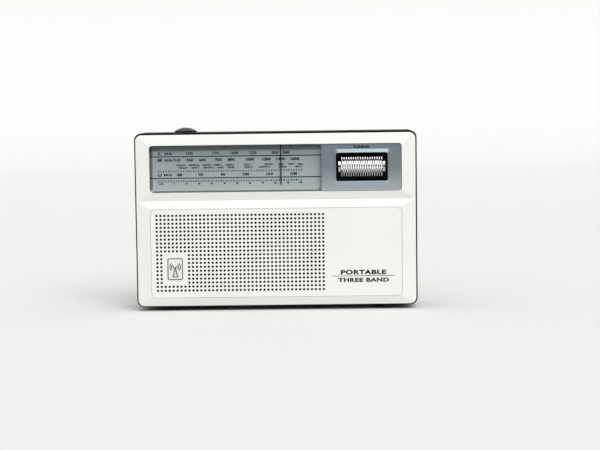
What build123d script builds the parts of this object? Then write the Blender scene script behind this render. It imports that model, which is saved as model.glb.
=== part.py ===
"""Portable transistor radio: three-band receiver in a two-piece moulded case.

Frame: X to the right, Y into the depth (the front faces -Y), Z up, origin on the
floor below the middle of the case. All sizes are in millimetres.
"""
import os
from math import acos, cos, degrees, radians, sin

from build123d import *

os.makedirs("parts", exist_ok=True)

# ---- case ---------------------------------------------------------------------
case_width = 213.6
case_depth = 52.0
case_bottom = 3.0  # the feet lift the case by this much
case_height = 132.4
case_corner = 5.5
wall = 2.2
back_edge_round = 4.0

left, right = -case_width / 2, case_width / 2
front_y, back_y = -case_depth / 2, case_depth / 2
case_top = case_bottom + case_height
inner_left = left + wall
inner_floor, inner_top = case_bottom + wall, case_top - wall
inner_back = back_y - wall

# ---- front frame: two mitred picture frames that meet in a valley ---------------
side_reveal = 1.15  # how much of the rear shell shows beside the frame
low_reveal = 1.1
top_reveal = 1.4
frame_corner = 4.7
relief = 2.5  # height of the bevels
edge_land = 2.0  # thickness of the frame at its outer edge
bevel_side = 10.4
bevel_top = 7.9
bevel_low = 6.3
bevel_valley = 6.1
valley_height = 81.1  # above the underside of the case
fit_gap = 0.2  # between a piece and the opening it sits in

frame_x = right - side_reveal
frame_z0, frame_z1 = case_bottom + low_reveal, case_top - top_reveal
frame_back = front_y + relief + edge_land
bevel_y = front_y + relief
valley_z = case_bottom + valley_height
open_x = frame_x - bevel_side
panel_z0, panel_z1 = frame_z0 + bevel_low, valley_z - bevel_valley
window_z0, window_z1 = valley_z + bevel_valley, frame_z1 - bevel_top
lip_wall, lip_depth, lip_gap = 1.4, 3.0, 0.1

# ---- grille panel and badge -----------------------------------------------------
panel_corner, window_corner = 4.0, 2.5
panel_recess, panel_thickness, cloth_thickness = 0.35, 1.2, 0.4
panel_ledge = 3.0
hole_pitch, hole_diameter = 3.0, 1.9
hole_columns, hole_rows = 43, 20
gap_columns, gap_rows = (2, 7), (10, 17)  # blanked for the badge, rows from the top
grille_x = left + 79.3
grille_z = case_bottom + 41.5
badge_width, badge_height, badge_corner, badge_thickness = 12.0, 16.9, 1.2, 0.6
badge_field_width, badge_field_height, badge_field_depth = 14.5, 19.0, 0.3

panel_y = front_y + panel_recess
cloth_y = panel_y + panel_thickness
baffle_y = cloth_y + cloth_thickness

# ---- dial, lens and bezel -------------------------------------------------------
bezel_width = 60.6
lens_front, lens_thickness, lens_side_wall, lens_low_wall = 0.1, 1.6, 1.9, 1.2
lens_flange, flange_reach = 0.7, 2.2
scale_thickness, scale_top_margin = 1.0, 0.5
bezel_setback, bezel_thickness, bezel_skirt = 1.4, 1.2, 1.2
bezel_flange = 1.2
well_width, well_height, well_corner, well_wall = 39.1, 21.4, 1.8, 1.2
surround_side, surround_top = 1.8, 2.75

split_x = open_x - 0.15 - bezel_width
scale_y = frame_back + lens_flange
bezel_y = front_y + bezel_setback

# ---- tuning drive ---------------------------------------------------------------
roller_radius, roller_width, roller_ridges = 9.6, 32.0, 18
ridge_depth, ridge_share = 1.5, 0.6  # share of the pitch that a ridge takes
hub_radius, hub_width = 7.1, 1.9
shaft_radius, running_gap = 2.0, 0.05
spool_cord_radius, spool_flange = roller_radius - 3.6, roller_radius - 2.9
spool_width, spool_rim = 5.1, 0.8
bracket_thickness, bracket_half_height = 2.0, 6.0
cord_radius = 0.3
cord_lay = 0.05  # between the cord and the groove it lies in
idler_cord_radius, idler_flange, idler_width = 3.0, 4.0, 3.0
drum_cord_radius, drum_flange, drum_width = 17.0, 18.0, 4.0
rail_radius = 1.0
pointer_width, pointer_thickness, pointer_foot = 0.9, 0.5, 5.3
pointer_travel_left, pointer_travel_right = 90.6, 16.4

well_x = open_x - 30.05
well_z = (window_z0 + window_z1) / 2 + 0.25
roller_y = front_y + roller_radius
spool_x1 = well_x - well_width / 2 - well_wall - 0.4
spool_x0 = spool_x1 - spool_width
cord_x = (spool_x0 + spool_x1) / 2
cord_y = roller_y + spool_cord_radius
cord_top = window_z1 + 0.9
idler_top = cord_top - idler_cord_radius
idler_right_x = cord_x - idler_cord_radius
idler_left_x = left + 10.8
idler_low = window_z0 + 1.8
drum_x, drum_z = left + 26.8, window_z0 + 13.8
rail_y, rail_z = roller_y + 0.4, cord_top + 2.5
pointer_x = split_x - 30.4

# ---- chassis --------------------------------------------------------------------
chassis_front = front_y + 20.5
chassis_thickness = 1.5
chassis_z0, chassis_z1 = window_z0 - 2.7, window_z1 - 5.1
leg_radius, leg_z = 2.2, valley_z - 0.9
screw_radius, screw_head, screw_head_height = 1.1, 2.0, 1.2
chassis_back = chassis_front + chassis_thickness

# ---- rear: case screws, battery bay, antenna channel ----------------------------
column_radius, column_inset = 2.6, 5.5
column_low, column_high = case_bottom + 6.7, case_bottom + 77.0
column_split = front_y + 14.0
screw_pocket = 8.0
cell_radius, cell_length, cell_gap = 13.0, 50.0, 0.1
bay_wall, bay_spring, bay_plate = 1.5, 3.9, 0.6
door_gap, hinge_barrel, hinge_pin, hinge_pin_length = 0.3, 1.4, 0.8, 2.0
mast_inset, mast_back, mast_drop = 10.8, wall + 3.3, 3.9
channel_depth, channel_height = mast_back + 5.0, 9.4

vents, vent_pitch, vent_length, vent_width, vent_margin = 9, 4.6, 30.0, 1.8, 8.0
label_width, label_height, label_depth = 58.0, 24.0, 0.3

bay_x1 = right - 9.8  # inner faces of the bay
bay_x0 = bay_x1 - 2 * cell_length - bay_spring - bay_plate
bay_z0 = inner_floor + 2.8
row_pitch = 2 * cell_radius + 1.5
bay_z1 = bay_z0 + row_pitch + 2 * (cell_radius + 0.25)
cell_y = inner_back - 0.5 - cell_radius
cell_rows = (bay_z0 + cell_radius + 0.25, bay_z0 + cell_radius + 0.25 + row_pitch)
bay_front = cell_y - cell_radius - 0.3
hinge_y, hinge_z = back_y - hinge_barrel, bay_z0 + 0.3 + door_gap + hinge_barrel
door_x0, door_x1 = bay_x0 + 0.3, bay_x1 - 0.3
door_z0, door_z1 = bay_z0 + 0.3, bay_z1 - 0.3
channel_y, channel_z = back_y - channel_depth, case_top - channel_height
mast_x, mast_y, mast_z = left + mast_inset, back_y - mast_back, case_top - mast_drop

# ---- speaker and board ------------------------------------------------------------
speaker_radius, speaker_throat, magnet_radius = 38.5, 36.0, 18.0
speaker_x, speaker_z = grille_x, grille_z + 2.0
baffle_hole = panel_z1 - 2.0 - speaker_z  # stays behind the panel
rim_thickness, basket_depth, magnet_depth = 1.0, 15.0, 8.0
board_back_gap, board_thickness = 10.2, 1.6
board_y1 = inner_back - board_back_gap
board_y0 = board_y1 - board_thickness
board_x0, board_x1 = left + 9.8, bay_x0 - 4.5
board_z0, board_z1 = case_bottom + 7.0, window_z1 - 10.1

# ---- top controls -----------------------------------------------------------------
knob_x, knob_y = left + 37.5, -1.0
knob_radius, knob_height, knob_rim, knob_lift = 8.4, 3.5, 0.9, 0.3
pot_radius, pot_height, bushing_radius, pot_shaft = 8.0, 8.0, 3.4, 2.5
band_x, band_y, band_step = right - 42.8, -2.0, 5.0
nub_length, nub_width = 6.0, 3.6


def block(x, y, z, mode=Mode.ADD):
    """Box between two limits on each axis."""
    with Locations((sum(x) / 2, sum(y) / 2, sum(z) / 2)):
        Box(x[1] - x[0], y[1] - y[0], z[1] - z[0], mode=mode)


def rod_x(radius, x, y, z, mode=Mode.ADD):
    """Cylinder along X between two limits."""
    with Locations(Location(((x[0] + x[1]) / 2, y, z), (0, 90, 0))):
        Cylinder(radius, x[1] - x[0], mode=mode)


def rod_y(radius, x, y, z, mode=Mode.ADD):
    """Cylinder along Y between two limits."""
    with Locations(Location((x, (y[0] + y[1]) / 2, z), (90, 0, 0))):
        Cylinder(radius, y[1] - y[0], mode=mode)


def rod_z(radius, x, y, z, mode=Mode.ADD):
    """Cylinder along Z between two limits."""
    with Locations((x, y, (z[0] + z[1]) / 2)):
        Cylinder(radius, z[1] - z[0], mode=mode)


def facing(y):
    """Sketch plane at depth y: its axes are X and Z, and it faces the front."""
    return Plane.XZ.offset(-y)


def middle(low, high):
    return (low + high) / 2


def tangent(one, two, side):
    """Outer tangent of two wheels (x, z, radius) met clockwise, moved outwards by side."""
    span = Vector(two[0] - one[0], two[1] - one[1])
    turn = degrees(acos((one[2] - two[2]) / span.length))
    outward = span.normalized().rotate(Axis.Z, turn)
    return [
        (wheel[0] + outward.X * (wheel[2] + side), wheel[1] + outward.Y * (wheel[2] + side))
        for wheel in (one, two)
    ]


window_mid = middle(window_z0, window_z1)
panel_mid = middle(panel_z0, panel_z1)
frame_mid = middle(frame_z0, frame_z1)
case_mid = middle(case_bottom, case_top)
columns = [(x, z) for x in (left + column_inset, right - column_inset) for z in (column_low, column_high)]
legs = [(left + 34.8, leg_z), (cord_x + 3.7, leg_z), (right - 14.8, leg_z)]
idlers = {
    "idler_upper_left": (idler_left_x, idler_top),
    "idler_upper_right": (idler_right_x, idler_top),
    "idler_lower_right": (idler_right_x, idler_low),
}
cord_wheels = [
    (*idlers["idler_upper_left"], idler_cord_radius),
    (*idlers["idler_upper_right"], idler_cord_radius),
    (*idlers["idler_lower_right"], idler_cord_radius),
    (drum_x, drum_z, drum_cord_radius),
]
clamp_reach = (speaker_radius + 2.0) * cos(radians(45))
clamps = [(speaker_x + sx * clamp_reach, speaker_z + sz * clamp_reach) for sx in (-1, 1) for sz in (-1, 1)]
hole_points = [
    (
        grille_x + (column - (hole_columns - 1) / 2) * hole_pitch,
        grille_z - (row - (hole_rows - 1) / 2) * hole_pitch,
    )
    for column in range(hole_columns)
    for row in range(hole_rows)
    if not (gap_columns[0] <= column <= gap_columns[1] and gap_rows[0] <= row <= gap_rows[1])
]
badge_x = grille_x + (sum(gap_columns) / 2 - (hole_columns - 1) / 2) * hole_pitch
badge_z = grille_z - (sum(gap_rows) / 2 - (hole_rows - 1) / 2) * hole_pitch

# ---- front frame ------------------------------------------------------------------
with BuildPart() as front_frame:
    with BuildSketch(facing(frame_back)):
        with Locations((0, frame_mid)):
            Rectangle(2 * frame_x, frame_z1 - frame_z0)
    extrude(amount=edge_land)
    for low, high, top_low, top_high in (
        (frame_z0, valley_z, panel_z0, panel_z1),
        (valley_z, frame_z1, window_z0, window_z1),
    ):
        with BuildSketch(facing(bevel_y)):
            with Locations((0, middle(low, high))):
                Rectangle(2 * frame_x, high - low)
        with BuildSketch(facing(front_y)):
            with Locations((0, middle(top_low, top_high))):
                Rectangle(2 * open_x, top_high - top_low)
        loft()
    with BuildSketch(facing(frame_back)):
        with Locations((0, frame_mid)):
            RectangleRounded(2 * frame_x, frame_z1 - frame_z0, frame_corner)
    extrude(amount=edge_land + relief, mode=Mode.INTERSECT)
    # the lip that goes into the rear shell
    with BuildSketch(facing(frame_back + lip_depth)):
        with Locations((0, case_mid)):
            lip_width = case_width - 2 * (wall + lip_gap)
            lip_height = case_height - 2 * (wall + lip_gap)
            RectangleRounded(lip_width, lip_height, case_corner - wall)
            RectangleRounded(
                lip_width - 2 * lip_wall,
                lip_height - 2 * lip_wall,
                case_corner - wall - lip_wall,
                mode=Mode.SUBTRACT,
            )
    extrude(amount=lip_depth)
    # seats: panel from the front, cloth behind its perforated part, window right through
    with BuildSketch(facing(cloth_y)):
        with Locations((0, panel_mid)):
            RectangleRounded(2 * open_x, panel_z1 - panel_z0, panel_corner)
    extrude(amount=cloth_y - front_y, mode=Mode.SUBTRACT)
    cloth_x = (grille_x - 65.5, grille_x + 65.5)
    cloth_z = (panel_z0 + panel_ledge, panel_z1 - panel_ledge)
    block(cloth_x, (cloth_y, baffle_y), cloth_z, mode=Mode.SUBTRACT)
    with BuildSketch(facing(frame_back)):
        with Locations((0, window_mid)):
            RectangleRounded(2 * open_x, window_z1 - window_z0, window_corner)
        with Locations((speaker_x, speaker_z)):
            Circle(baffle_hole)
    extrude(amount=frame_back - front_y, mode=Mode.SUBTRACT)
    # channel in which the top of the pointer travels
    pointer_channel = (pointer_x - pointer_travel_left - 3, pointer_x + pointer_travel_right + 3)
    block(pointer_channel, (front_y + 2.1, frame_back), (window_z1 - 1, window_z1 + 3.4), mode=Mode.SUBTRACT)
    # bosses for the case screws, and pilot holes
    for x, z in columns:
        rod_y(column_radius, x, (frame_back, column_split - 0.3), z)
        rod_y(screw_radius, x, (frame_back, column_split - 0.3), z, mode=Mode.SUBTRACT)
    for x, z in legs + clamps:
        rod_y(screw_radius, x, (frame_back - 1.6, frame_back), z, mode=Mode.SUBTRACT)
front_frame.part.label = "front_frame"
export_step(front_frame.part, "parts/front_frame.step")

# ---- grille panel, cloth and badge --------------------------------------------------
with BuildPart() as grille_panel:
    with BuildSketch(facing(cloth_y)):
        with Locations((0, panel_mid)):
            RectangleRounded(
                2 * (open_x - fit_gap), panel_z1 - panel_z0 - 2 * fit_gap, panel_corner - fit_gap
            )
        with Locations(*hole_points):
            Circle(hole_diameter / 2, mode=Mode.SUBTRACT)
    extrude(amount=panel_thickness)
    with BuildSketch(facing(panel_y)):
        with Locations((badge_x, badge_z)):
            RectangleRounded(badge_field_width, badge_field_height, badge_corner)
    extrude(amount=-badge_field_depth, mode=Mode.SUBTRACT)
grille_panel.part.label = "grille_panel"
export_step(grille_panel.part, "parts/grille_panel.step")

with BuildPart() as grille_cloth:
    block(
        (cloth_x[0] + fit_gap, cloth_x[1] - fit_gap),
        (cloth_y, baffle_y),
        (cloth_z[0] + fit_gap, cloth_z[1] - fit_gap),
    )
grille_cloth.part.label = "grille_cloth"
export_step(grille_cloth.part, "parts/grille_cloth.step")

with BuildPart() as badge_plate:
    with BuildSketch(facing(panel_y + badge_field_depth)):
        with Locations((badge_x, badge_z)):
            RectangleRounded(badge_width, badge_height, badge_corner)
    extrude(amount=badge_thickness)
badge_plate.part.label = "badge_plate"
export_step(badge_plate.part, "parts/badge_plate.step")

# ---- dial: clear lens tray, printed scale ---------------------------------------------
lens_x0, lens_x1 = -open_x + fit_gap, split_x - fit_gap / 2
lens_z0, lens_z1 = window_z0 + fit_gap, window_z1 - fit_gap
with BuildPart() as dial_lens:
    with BuildSketch(facing(front_y + lens_front + lens_thickness)):
        with Locations((middle(lens_x0, lens_x1), middle(lens_z0, lens_z1))):
            Rectangle(lens_x1 - lens_x0, lens_z1 - lens_z0)
    extrude(amount=lens_thickness)
    corner_edges = dial_lens.edges().filter_by(Axis.Y).group_by(Axis.X)[0]
    fillet(corner_edges, window_corner - fit_gap)
    lens_back = front_y + lens_front + lens_thickness
    block((lens_x0, lens_x0 + lens_side_wall), (lens_back, scale_y), (lens_z0 + 2.3, lens_z1 - 2.3))
    block((lens_x0 + 2.3, lens_x1), (lens_back, scale_y), (lens_z0, lens_z0 + lens_low_wall))
    block((lens_x0 - flange_reach, lens_x0), (frame_back, scale_y), (lens_z0 + 2.3, lens_z1 - 2.3))
    block((lens_x0 + 2.3, lens_x1), (frame_back, scale_y), (lens_z0 - flange_reach, lens_z0))
dial_lens.part.label = "dial_lens"
export_step(dial_lens.part, "parts/dial_lens.step")

with BuildPart() as dial_scale:
    block(
        (lens_x0 - flange_reach, lens_x1 - 0.2),
        (scale_y, scale_y + scale_thickness),
        (lens_z0 - flange_reach, window_z1 + scale_top_margin),
    )
dial_scale.part.label = "dial_scale"
export_step(dial_scale.part, "parts/dial_scale.step")

# ---- bezel with the well of the tuning roller -------------------------------------------
bezel_x0, bezel_x1 = split_x + fit_gap / 2, open_x - fit_gap
well_back = chassis_front - 1.5
skirt_y = frame_back + bezel_flange
with BuildPart() as tuning_bezel:
    block((bezel_x0, bezel_x1), (bezel_y, skirt_y), (lens_z0, lens_z1))
    block(
        (bezel_x0 + bezel_skirt, bezel_x1 - bezel_skirt),
        (bezel_y + bezel_thickness, skirt_y),
        (lens_z0 + bezel_skirt, lens_z1 - bezel_skirt),
        mode=Mode.SUBTRACT,
    )
    fillet(tuning_bezel.edges().filter_by(Axis.Y).group_by(Axis.X)[-1], window_corner - fit_gap)
    for z in ((lens_z0 - flange_reach, lens_z0 + 0.6), (lens_z1 - 0.6, lens_z1 + flange_reach)):
        block((bezel_x0 + 3, bezel_x1 - 3), (frame_back, skirt_y), z)
    # raised surround of the well, falling outwards
    with BuildSketch(facing(bezel_y)):
        with Locations((well_x, well_z)):
            RectangleRounded(well_width + 2 * surround_side, well_height + 2 * surround_top, 3.0)
    with BuildSketch(facing(front_y)):
        with Locations((well_x, well_z)):
            RectangleRounded(well_width + 0.6, well_height + 0.6, well_corner + 0.3)
    loft()
    with BuildSketch(facing(well_back)):
        with Locations((well_x, well_z)):
            RectangleRounded(well_width + 2 * well_wall, well_height + 2 * well_wall, well_corner + well_wall)
    extrude(amount=well_back - bezel_y)
    with BuildSketch(facing(well_back)):
        with Locations((well_x, well_z)):
            RectangleRounded(well_width, well_height, well_corner)
    extrude(amount=well_back - front_y, mode=Mode.SUBTRACT)
    # the side walls are slotted from behind for the shaft
    slot_x = (well_x - well_width / 2 - well_wall - 1, well_x + well_width / 2 + well_wall + 1)
    block(slot_x, (roller_y - 0.1, well_back), (well_z - 2.6, well_z + 2.6), mode=Mode.SUBTRACT)
    rod_x(2.6, slot_x, roller_y, well_z, mode=Mode.SUBTRACT)
tuning_bezel.part.label = "tuning_bezel"
export_step(tuning_bezel.part, "parts/tuning_bezel.step")

# ---- tuning roller and its shaft ----------------------------------------------------------
ridge_pitch = roller_width / roller_ridges
with BuildPart() as tuning_knob:
    core_x = (well_x - roller_width / 2, well_x + roller_width / 2)
    rod_x(roller_radius - ridge_depth, core_x, roller_y, well_z)
    for ridge in range(roller_ridges):
        ridge_x = core_x[0] + (ridge + 0.5) * ridge_pitch
        ridge_half = ridge_share * ridge_pitch / 2
        rod_x(roller_radius, (ridge_x - ridge_half, ridge_x + ridge_half), roller_y, well_z)
    hub_half = roller_width / 2 + hub_width
    rod_x(hub_radius, (well_x - hub_half, well_x + hub_half), roller_y, well_z)
    rod_x(shaft_radius, (well_x - 40, well_x + 40), roller_y, well_z, mode=Mode.SUBTRACT)
tuning_knob.part.label = "tuning_knob"
export_step(tuning_knob.part, "parts/tuning_knob.step")

bracket_left = (spool_x0 - 0.6 - bracket_thickness, spool_x0 - 0.6)
bracket_right = (well_x + well_width / 2 + well_wall + 1.2, well_x + well_width / 2 + well_wall + 3.2)
with BuildPart() as tuning_shaft:
    rod_x(shaft_radius, (bracket_left[0] - 0.6, bracket_right[1] + 0.6), roller_y, well_z)
    rod_x(spool_cord_radius - cord_radius - cord_lay, (spool_x0, spool_x1), roller_y, well_z)
    rod_x(spool_flange, (spool_x0, spool_x0 + spool_rim), roller_y, well_z)
    rod_x(spool_flange, (spool_x1 - spool_rim, spool_x1), roller_y, well_z)
tuning_shaft.part.label = "tuning_shaft"
export_step(tuning_shaft.part, "parts/tuning_shaft.step")

# ---- chassis: plate behind the drive, bearings, rail supports and legs ------------------------
support_z = (cord_top + 0.8, rail_z + 1.7)
lip_inside = inner_left + lip_gap + lip_wall
support_left = (lip_inside + 0.9, lip_inside + 2.6)  # clear of the rounded corner of the lip
support_right = (idler_right_x - 6.9, idler_right_x - 5.2)
with BuildPart() as chassis:
    block((left + 7.8, right - 9.8), (chassis_front, chassis_back), (chassis_z0, chassis_z1))
    block((support_left[0], left + 16.8), (chassis_front, chassis_back), (chassis_z1 - 3, support_z[1]))
    right_arm = (support_right[0] - 3, idler_right_x + 5)
    block(right_arm, (chassis_front, chassis_back), (chassis_z1 - 3, support_z[1]))
    for support in (support_left, support_right):
        block(support, (rail_y - 2, chassis_back), support_z)
        rod_x(rail_radius + running_gap, (support[0] - 1, support[1] + 1), rail_y, rail_z, mode=Mode.SUBTRACT)
    for x, z in legs:
        block((x - 4, x + 4), (chassis_front, chassis_back), (z - 3.2, chassis_z0 + 1))
        rod_y(leg_radius, x, (frame_back, chassis_back), z)
        rod_y(screw_radius + 0.1, x, (frame_back, chassis_back), z, mode=Mode.SUBTRACT)
    for bracket in (bracket_left, bracket_right):
        block(
            bracket,
            (roller_y - 4, chassis_back),
            (well_z - bracket_half_height, well_z + bracket_half_height),
        )
        bearing = (bracket[0] - 1, bracket[1] + 1)
        rod_x(shaft_radius + running_gap, bearing, roller_y, well_z, mode=Mode.SUBTRACT)
    rod_y(5.0, drum_x, (chassis_front, chassis_back), drum_z, mode=Mode.SUBTRACT)
chassis.part.label = "chassis"
export_step(chassis.part, "parts/chassis.step")

with BuildPart() as chassis_screws:
    for x, z in legs:
        rod_y(screw_radius, x, (frame_back - 1.5, chassis_back), z)
        rod_y(screw_head, x, (chassis_back, chassis_back + screw_head_height), z)
chassis_screws.part.label = "chassis_screws"
export_step(chassis_screws.part, "parts/chassis_screws.step")

# ---- cord drive: rail, pointer, idlers, drum and cord ------------------------------------------
with BuildPart() as pointer_rail:
    rod_x(rail_radius, (support_left[0], support_right[1]), rail_y, rail_z)
pointer_rail.part.label = "pointer_rail"
export_step(pointer_rail.part, "parts/pointer_rail.step")

with BuildPart() as pointer_carriage:
    carriage_x = (pointer_x - 5, pointer_x + 5)
    block(carriage_x, (rail_y - 2, rail_y + 2), (cord_top - 0.8, rail_z + 1.7))
    rail_hole = (carriage_x[0] - 1, carriage_x[1] + 1)
    rod_x(rail_radius + running_gap, rail_hole, rail_y, rail_z, mode=Mode.SUBTRACT)
    jaw_gap = cord_radius + 0.1
    block(carriage_x, (rail_y + 2, cord_y + 0.8), (cord_top - jaw_gap - 1, cord_top - jaw_gap))
    block(carriage_x, (rail_y + 2, cord_y + 0.8), (cord_top + jaw_gap, cord_top + jaw_gap + 1))
pointer_carriage.part.label = "pointer_carriage"
export_step(pointer_carriage.part, "parts/pointer_carriage.step")

blade_y = (scale_y - 1.8, scale_y - 1.8 + pointer_thickness)
arm_z = (window_z1 + 1.1, window_z1 + 2.1)
with BuildPart() as dial_pointer:
    block((pointer_x - 1.5, pointer_x + 1.5), (blade_y[0], rail_y - 2), arm_z)
    block(
        (pointer_x - pointer_width / 2, pointer_x + pointer_width / 2),
        blade_y,
        (window_z0 + pointer_foot, arm_z[1]),
    )
dial_pointer.part.label = "dial_pointer"
export_step(dial_pointer.part, "parts/dial_pointer.step")

idler_y = (cord_y - idler_width / 2, cord_y + idler_width / 2)
for name, (x, z) in idlers.items():
    with BuildPart() as idler:
        rod_y(idler_cord_radius - cord_radius - cord_lay, x, idler_y, z)
        rod_y(idler_flange, x, (idler_y[0], cord_y - 0.5), z)
        rod_y(idler_flange, x, (cord_y + 0.5, idler_y[1]), z)
        rod_y(1.25, x, (cord_y - idler_width, cord_y + idler_width), z, mode=Mode.SUBTRACT)
    idler.part.label = name
    export_step(idler.part, f"parts/{name}.step")

with BuildPart() as idler_posts:
    for x, z in idlers.values():
        rod_y(1.2, x, (idler_y[0] - 0.9, chassis_front), z)
        rod_y(2.0, x, (idler_y[0] - 0.9, idler_y[0] - 0.3), z)
        rod_y(2.4, x, (idler_y[1] + 0.3, chassis_front), z)
idler_posts.part.label = "idler_posts"
export_step(idler_posts.part, "parts/idler_posts.step")

capacitor_front = chassis_back + 0.3
with BuildPart() as capacitor_drum:
    drum_y = (cord_y - drum_width / 2, cord_y + drum_width / 2)
    rod_y(drum_cord_radius - cord_radius - cord_lay, drum_x, drum_y, drum_z)
    rod_y(drum_flange, drum_x, (drum_y[0], cord_y - 0.6), drum_z)
    rod_y(drum_flange, drum_x, (cord_y + 0.6, drum_y[1]), drum_z)
    for angle in range(0, 360, 90):
        x = drum_x + 10.5 * cos(radians(angle + 45))
        z = drum_z + 10.5 * sin(radians(angle + 45))
        rod_y(4.0, x, (drum_y[0] - 1, drum_y[1] + 1), z, mode=Mode.SUBTRACT)
    rod_y(3.0, drum_x, (drum_y[1] - 1, capacitor_front + 5.5), drum_z)
capacitor_drum.part.label = "capacitor_drum"
export_step(capacitor_drum.part, "parts/capacitor_drum.step")

# the cord lies tight round the idlers and the drum, with two turns on the spool
with BuildPart() as dial_cord:
    for side, mode in ((cord_radius, Mode.ADD), (-cord_radius, Mode.SUBTRACT)):
        with BuildSketch(facing(cord_y + cord_radius)):
            Polygon(*[(x, z) for x, z, radius in cord_wheels], align=None)
            for here, after in zip(cord_wheels, cord_wheels[1:] + cord_wheels[:1]):
                with Locations(here[:2]):
                    Circle(here[2] + side)
                Polygon(here[:2], *tangent(here, after, side), after[:2], align=None)
        extrude(amount=2 * cord_radius, mode=mode)
    for offset in (-0.75, 0.75):
        with Locations(Location((cord_x + offset, roller_y, well_z), (0, 90, 0))):
            Torus(spool_cord_radius, cord_radius)
dial_cord.part.label = "dial_cord"
export_step(dial_cord.part, "parts/dial_cord.step")

with BuildPart() as tuning_capacitor:
    half_capacitor = 10.0
    block(
        (drum_x - half_capacitor, drum_x + half_capacitor),
        (capacitor_front, board_y0),
        (drum_z - half_capacitor, drum_z + half_capacitor),
    )
    rod_y(3.05, drum_x, (capacitor_front, capacitor_front + 6), drum_z, mode=Mode.SUBTRACT)
tuning_capacitor.part.label = "tuning_capacitor"
export_step(tuning_capacitor.part, "parts/tuning_capacitor.step")

# ---- rear shell -----------------------------------------------------------------------------
with BuildPart() as rear_shell:
    with BuildSketch(facing(back_y)):
        with Locations((0, case_mid)):
            RectangleRounded(case_width, case_height, case_corner)
    extrude(amount=back_y - frame_back)
    fillet(rear_shell.faces().sort_by(Axis.Y)[-1].edges(), back_edge_round)
    with BuildSketch(facing(inner_back)):
        with Locations((0, case_mid)):
            RectangleRounded(case_width - 2 * wall, case_height - 2 * wall, case_corner - wall)
    extrude(amount=inner_back - frame_back, mode=Mode.SUBTRACT)
    # antenna channel along the top rear edge, open at both ends
    block((left + 1, right - 1), (channel_y - wall, inner_back), (channel_z - wall, inner_top + 1))
    block((left - 1, right + 1), (channel_y, back_y + 1), (channel_z, case_top + 1), mode=Mode.SUBTRACT)
    rod_z(2.55, mast_x, mast_y, (channel_z - wall - 1, channel_z + 1), mode=Mode.SUBTRACT)
    # screw columns with pockets for the heads
    for x, z in columns:
        rod_y(column_radius, x, (column_split, inner_back), z)
        rod_y(screw_radius + 0.1, x, (column_split - 1, back_y), z, mode=Mode.SUBTRACT)
        rod_y(screw_head + 0.1, x, (back_y - screw_pocket, back_y + 1), z, mode=Mode.SUBTRACT)
    # posts under the circuit board
    board_posts = [(x, z) for x in (board_x0 + 4, board_x1 - 6) for z in (board_z0 + 6, board_z1 - 8)]
    for x, z in board_posts:
        rod_y(2.5, x, (board_y1, inner_back), z)
        rod_y(screw_radius, x, (board_y1, board_y1 + 6), z, mode=Mode.SUBTRACT)
    # battery opening, with bosses for the hinge pins of its door
    for x in ((door_x0 - 3.2, door_x0), (door_x1, door_x1 + 2.4)):
        block(x, (inner_back - 2.2, inner_back), (door_z0, door_z0 + 3.8))
    block((door_x0, door_x1), (inner_back - 3, back_y + 1), (door_z0, door_z1), mode=Mode.SUBTRACT)
    pin_hole = (door_x0 - hinge_pin_length - 0.2, door_x1 + hinge_pin_length + 0.2)
    rod_x(hinge_pin + running_gap, pin_hole, hinge_y, hinge_z, mode=Mode.SUBTRACT)
    # finger notch above the door
    with BuildSketch(facing(back_y)):
        with Locations((middle(door_x0, door_x1), door_z1)):
            SlotOverall(22, 6)
    extrude(amount=-1.2, mode=Mode.SUBTRACT, both=True)
    # sound vents behind the loudspeaker, and a shallow bed for the label
    for vent in range(vents):
        vent_x = door_x0 - vent_margin - vent * vent_pitch
        with BuildSketch(facing(back_y)):
            with Locations((vent_x, speaker_z)):
                SlotOverall(vent_length, vent_width, rotation=90)
        extrude(amount=-wall - 1, mode=Mode.SUBTRACT, both=True)
    with BuildSketch(facing(back_y)):
        with Locations((middle(door_x0, door_x1), middle(door_z1 + 4, channel_z - 4))):
            RectangleRounded(label_width, label_height, 1.5)
    extrude(amount=-label_depth, mode=Mode.SUBTRACT, both=True)
    # volume shaft, band slot, sockets, feet
    rod_z(bushing_radius + 0.1, knob_x, knob_y, (inner_top - 1, case_top + 1), mode=Mode.SUBTRACT)
    slot_half = nub_length / 2 + band_step + 0.3
    nub_half = nub_width / 2 + 0.3
    block(
        (band_x - slot_half, band_x + slot_half),
        (band_y - nub_half, band_y + nub_half),
        (inner_top - 1, case_top + 1),
        mode=Mode.SUBTRACT,
    )
    jack_y, jack_z = 5.0, window_z0 + 9.8
    rod_x(3.3, (left - 1, inner_left + 1), jack_y, jack_z, mode=Mode.SUBTRACT)
    inlet_x, inlet_z = left + 22.0, case_bottom + 22.0
    rod_y(4.3, inlet_x, (inner_back - 1, back_y + 1), inlet_z, mode=Mode.SUBTRACT)
    foot_x, foot_width, foot_length, foot_sink = right - 23.8, 5.5, 8.0, 0.8
    foot_rows = (front_y + 11.5, back_y - 11.5)
    for x in (-foot_x, foot_x):
        for y in foot_rows:
            block(
                (x - foot_width / 2, x + foot_width / 2),
                (y - foot_length / 2, y + foot_length / 2),
                (case_bottom, case_bottom + foot_sink),
                mode=Mode.SUBTRACT,
            )
rear_shell.part.label = "rear_shell"
export_step(rear_shell.part, "parts/rear_shell.step")

with BuildPart() as case_screws:
    head_y = back_y - screw_pocket
    for x, z in columns:
        rod_y(screw_radius - 0.05, x, (frame_back + 2, head_y), z)
        rod_y(screw_head, x, (head_y, head_y + screw_head_height), z)
        slot_z = (z - 0.3, z + 0.3)
        block((x - screw_head, x + screw_head), (head_y + 0.6, head_y + 2), slot_z, mode=Mode.SUBTRACT)
case_screws.part.label = "case_screws"
export_step(case_screws.part, "parts/case_screws.step")

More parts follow.
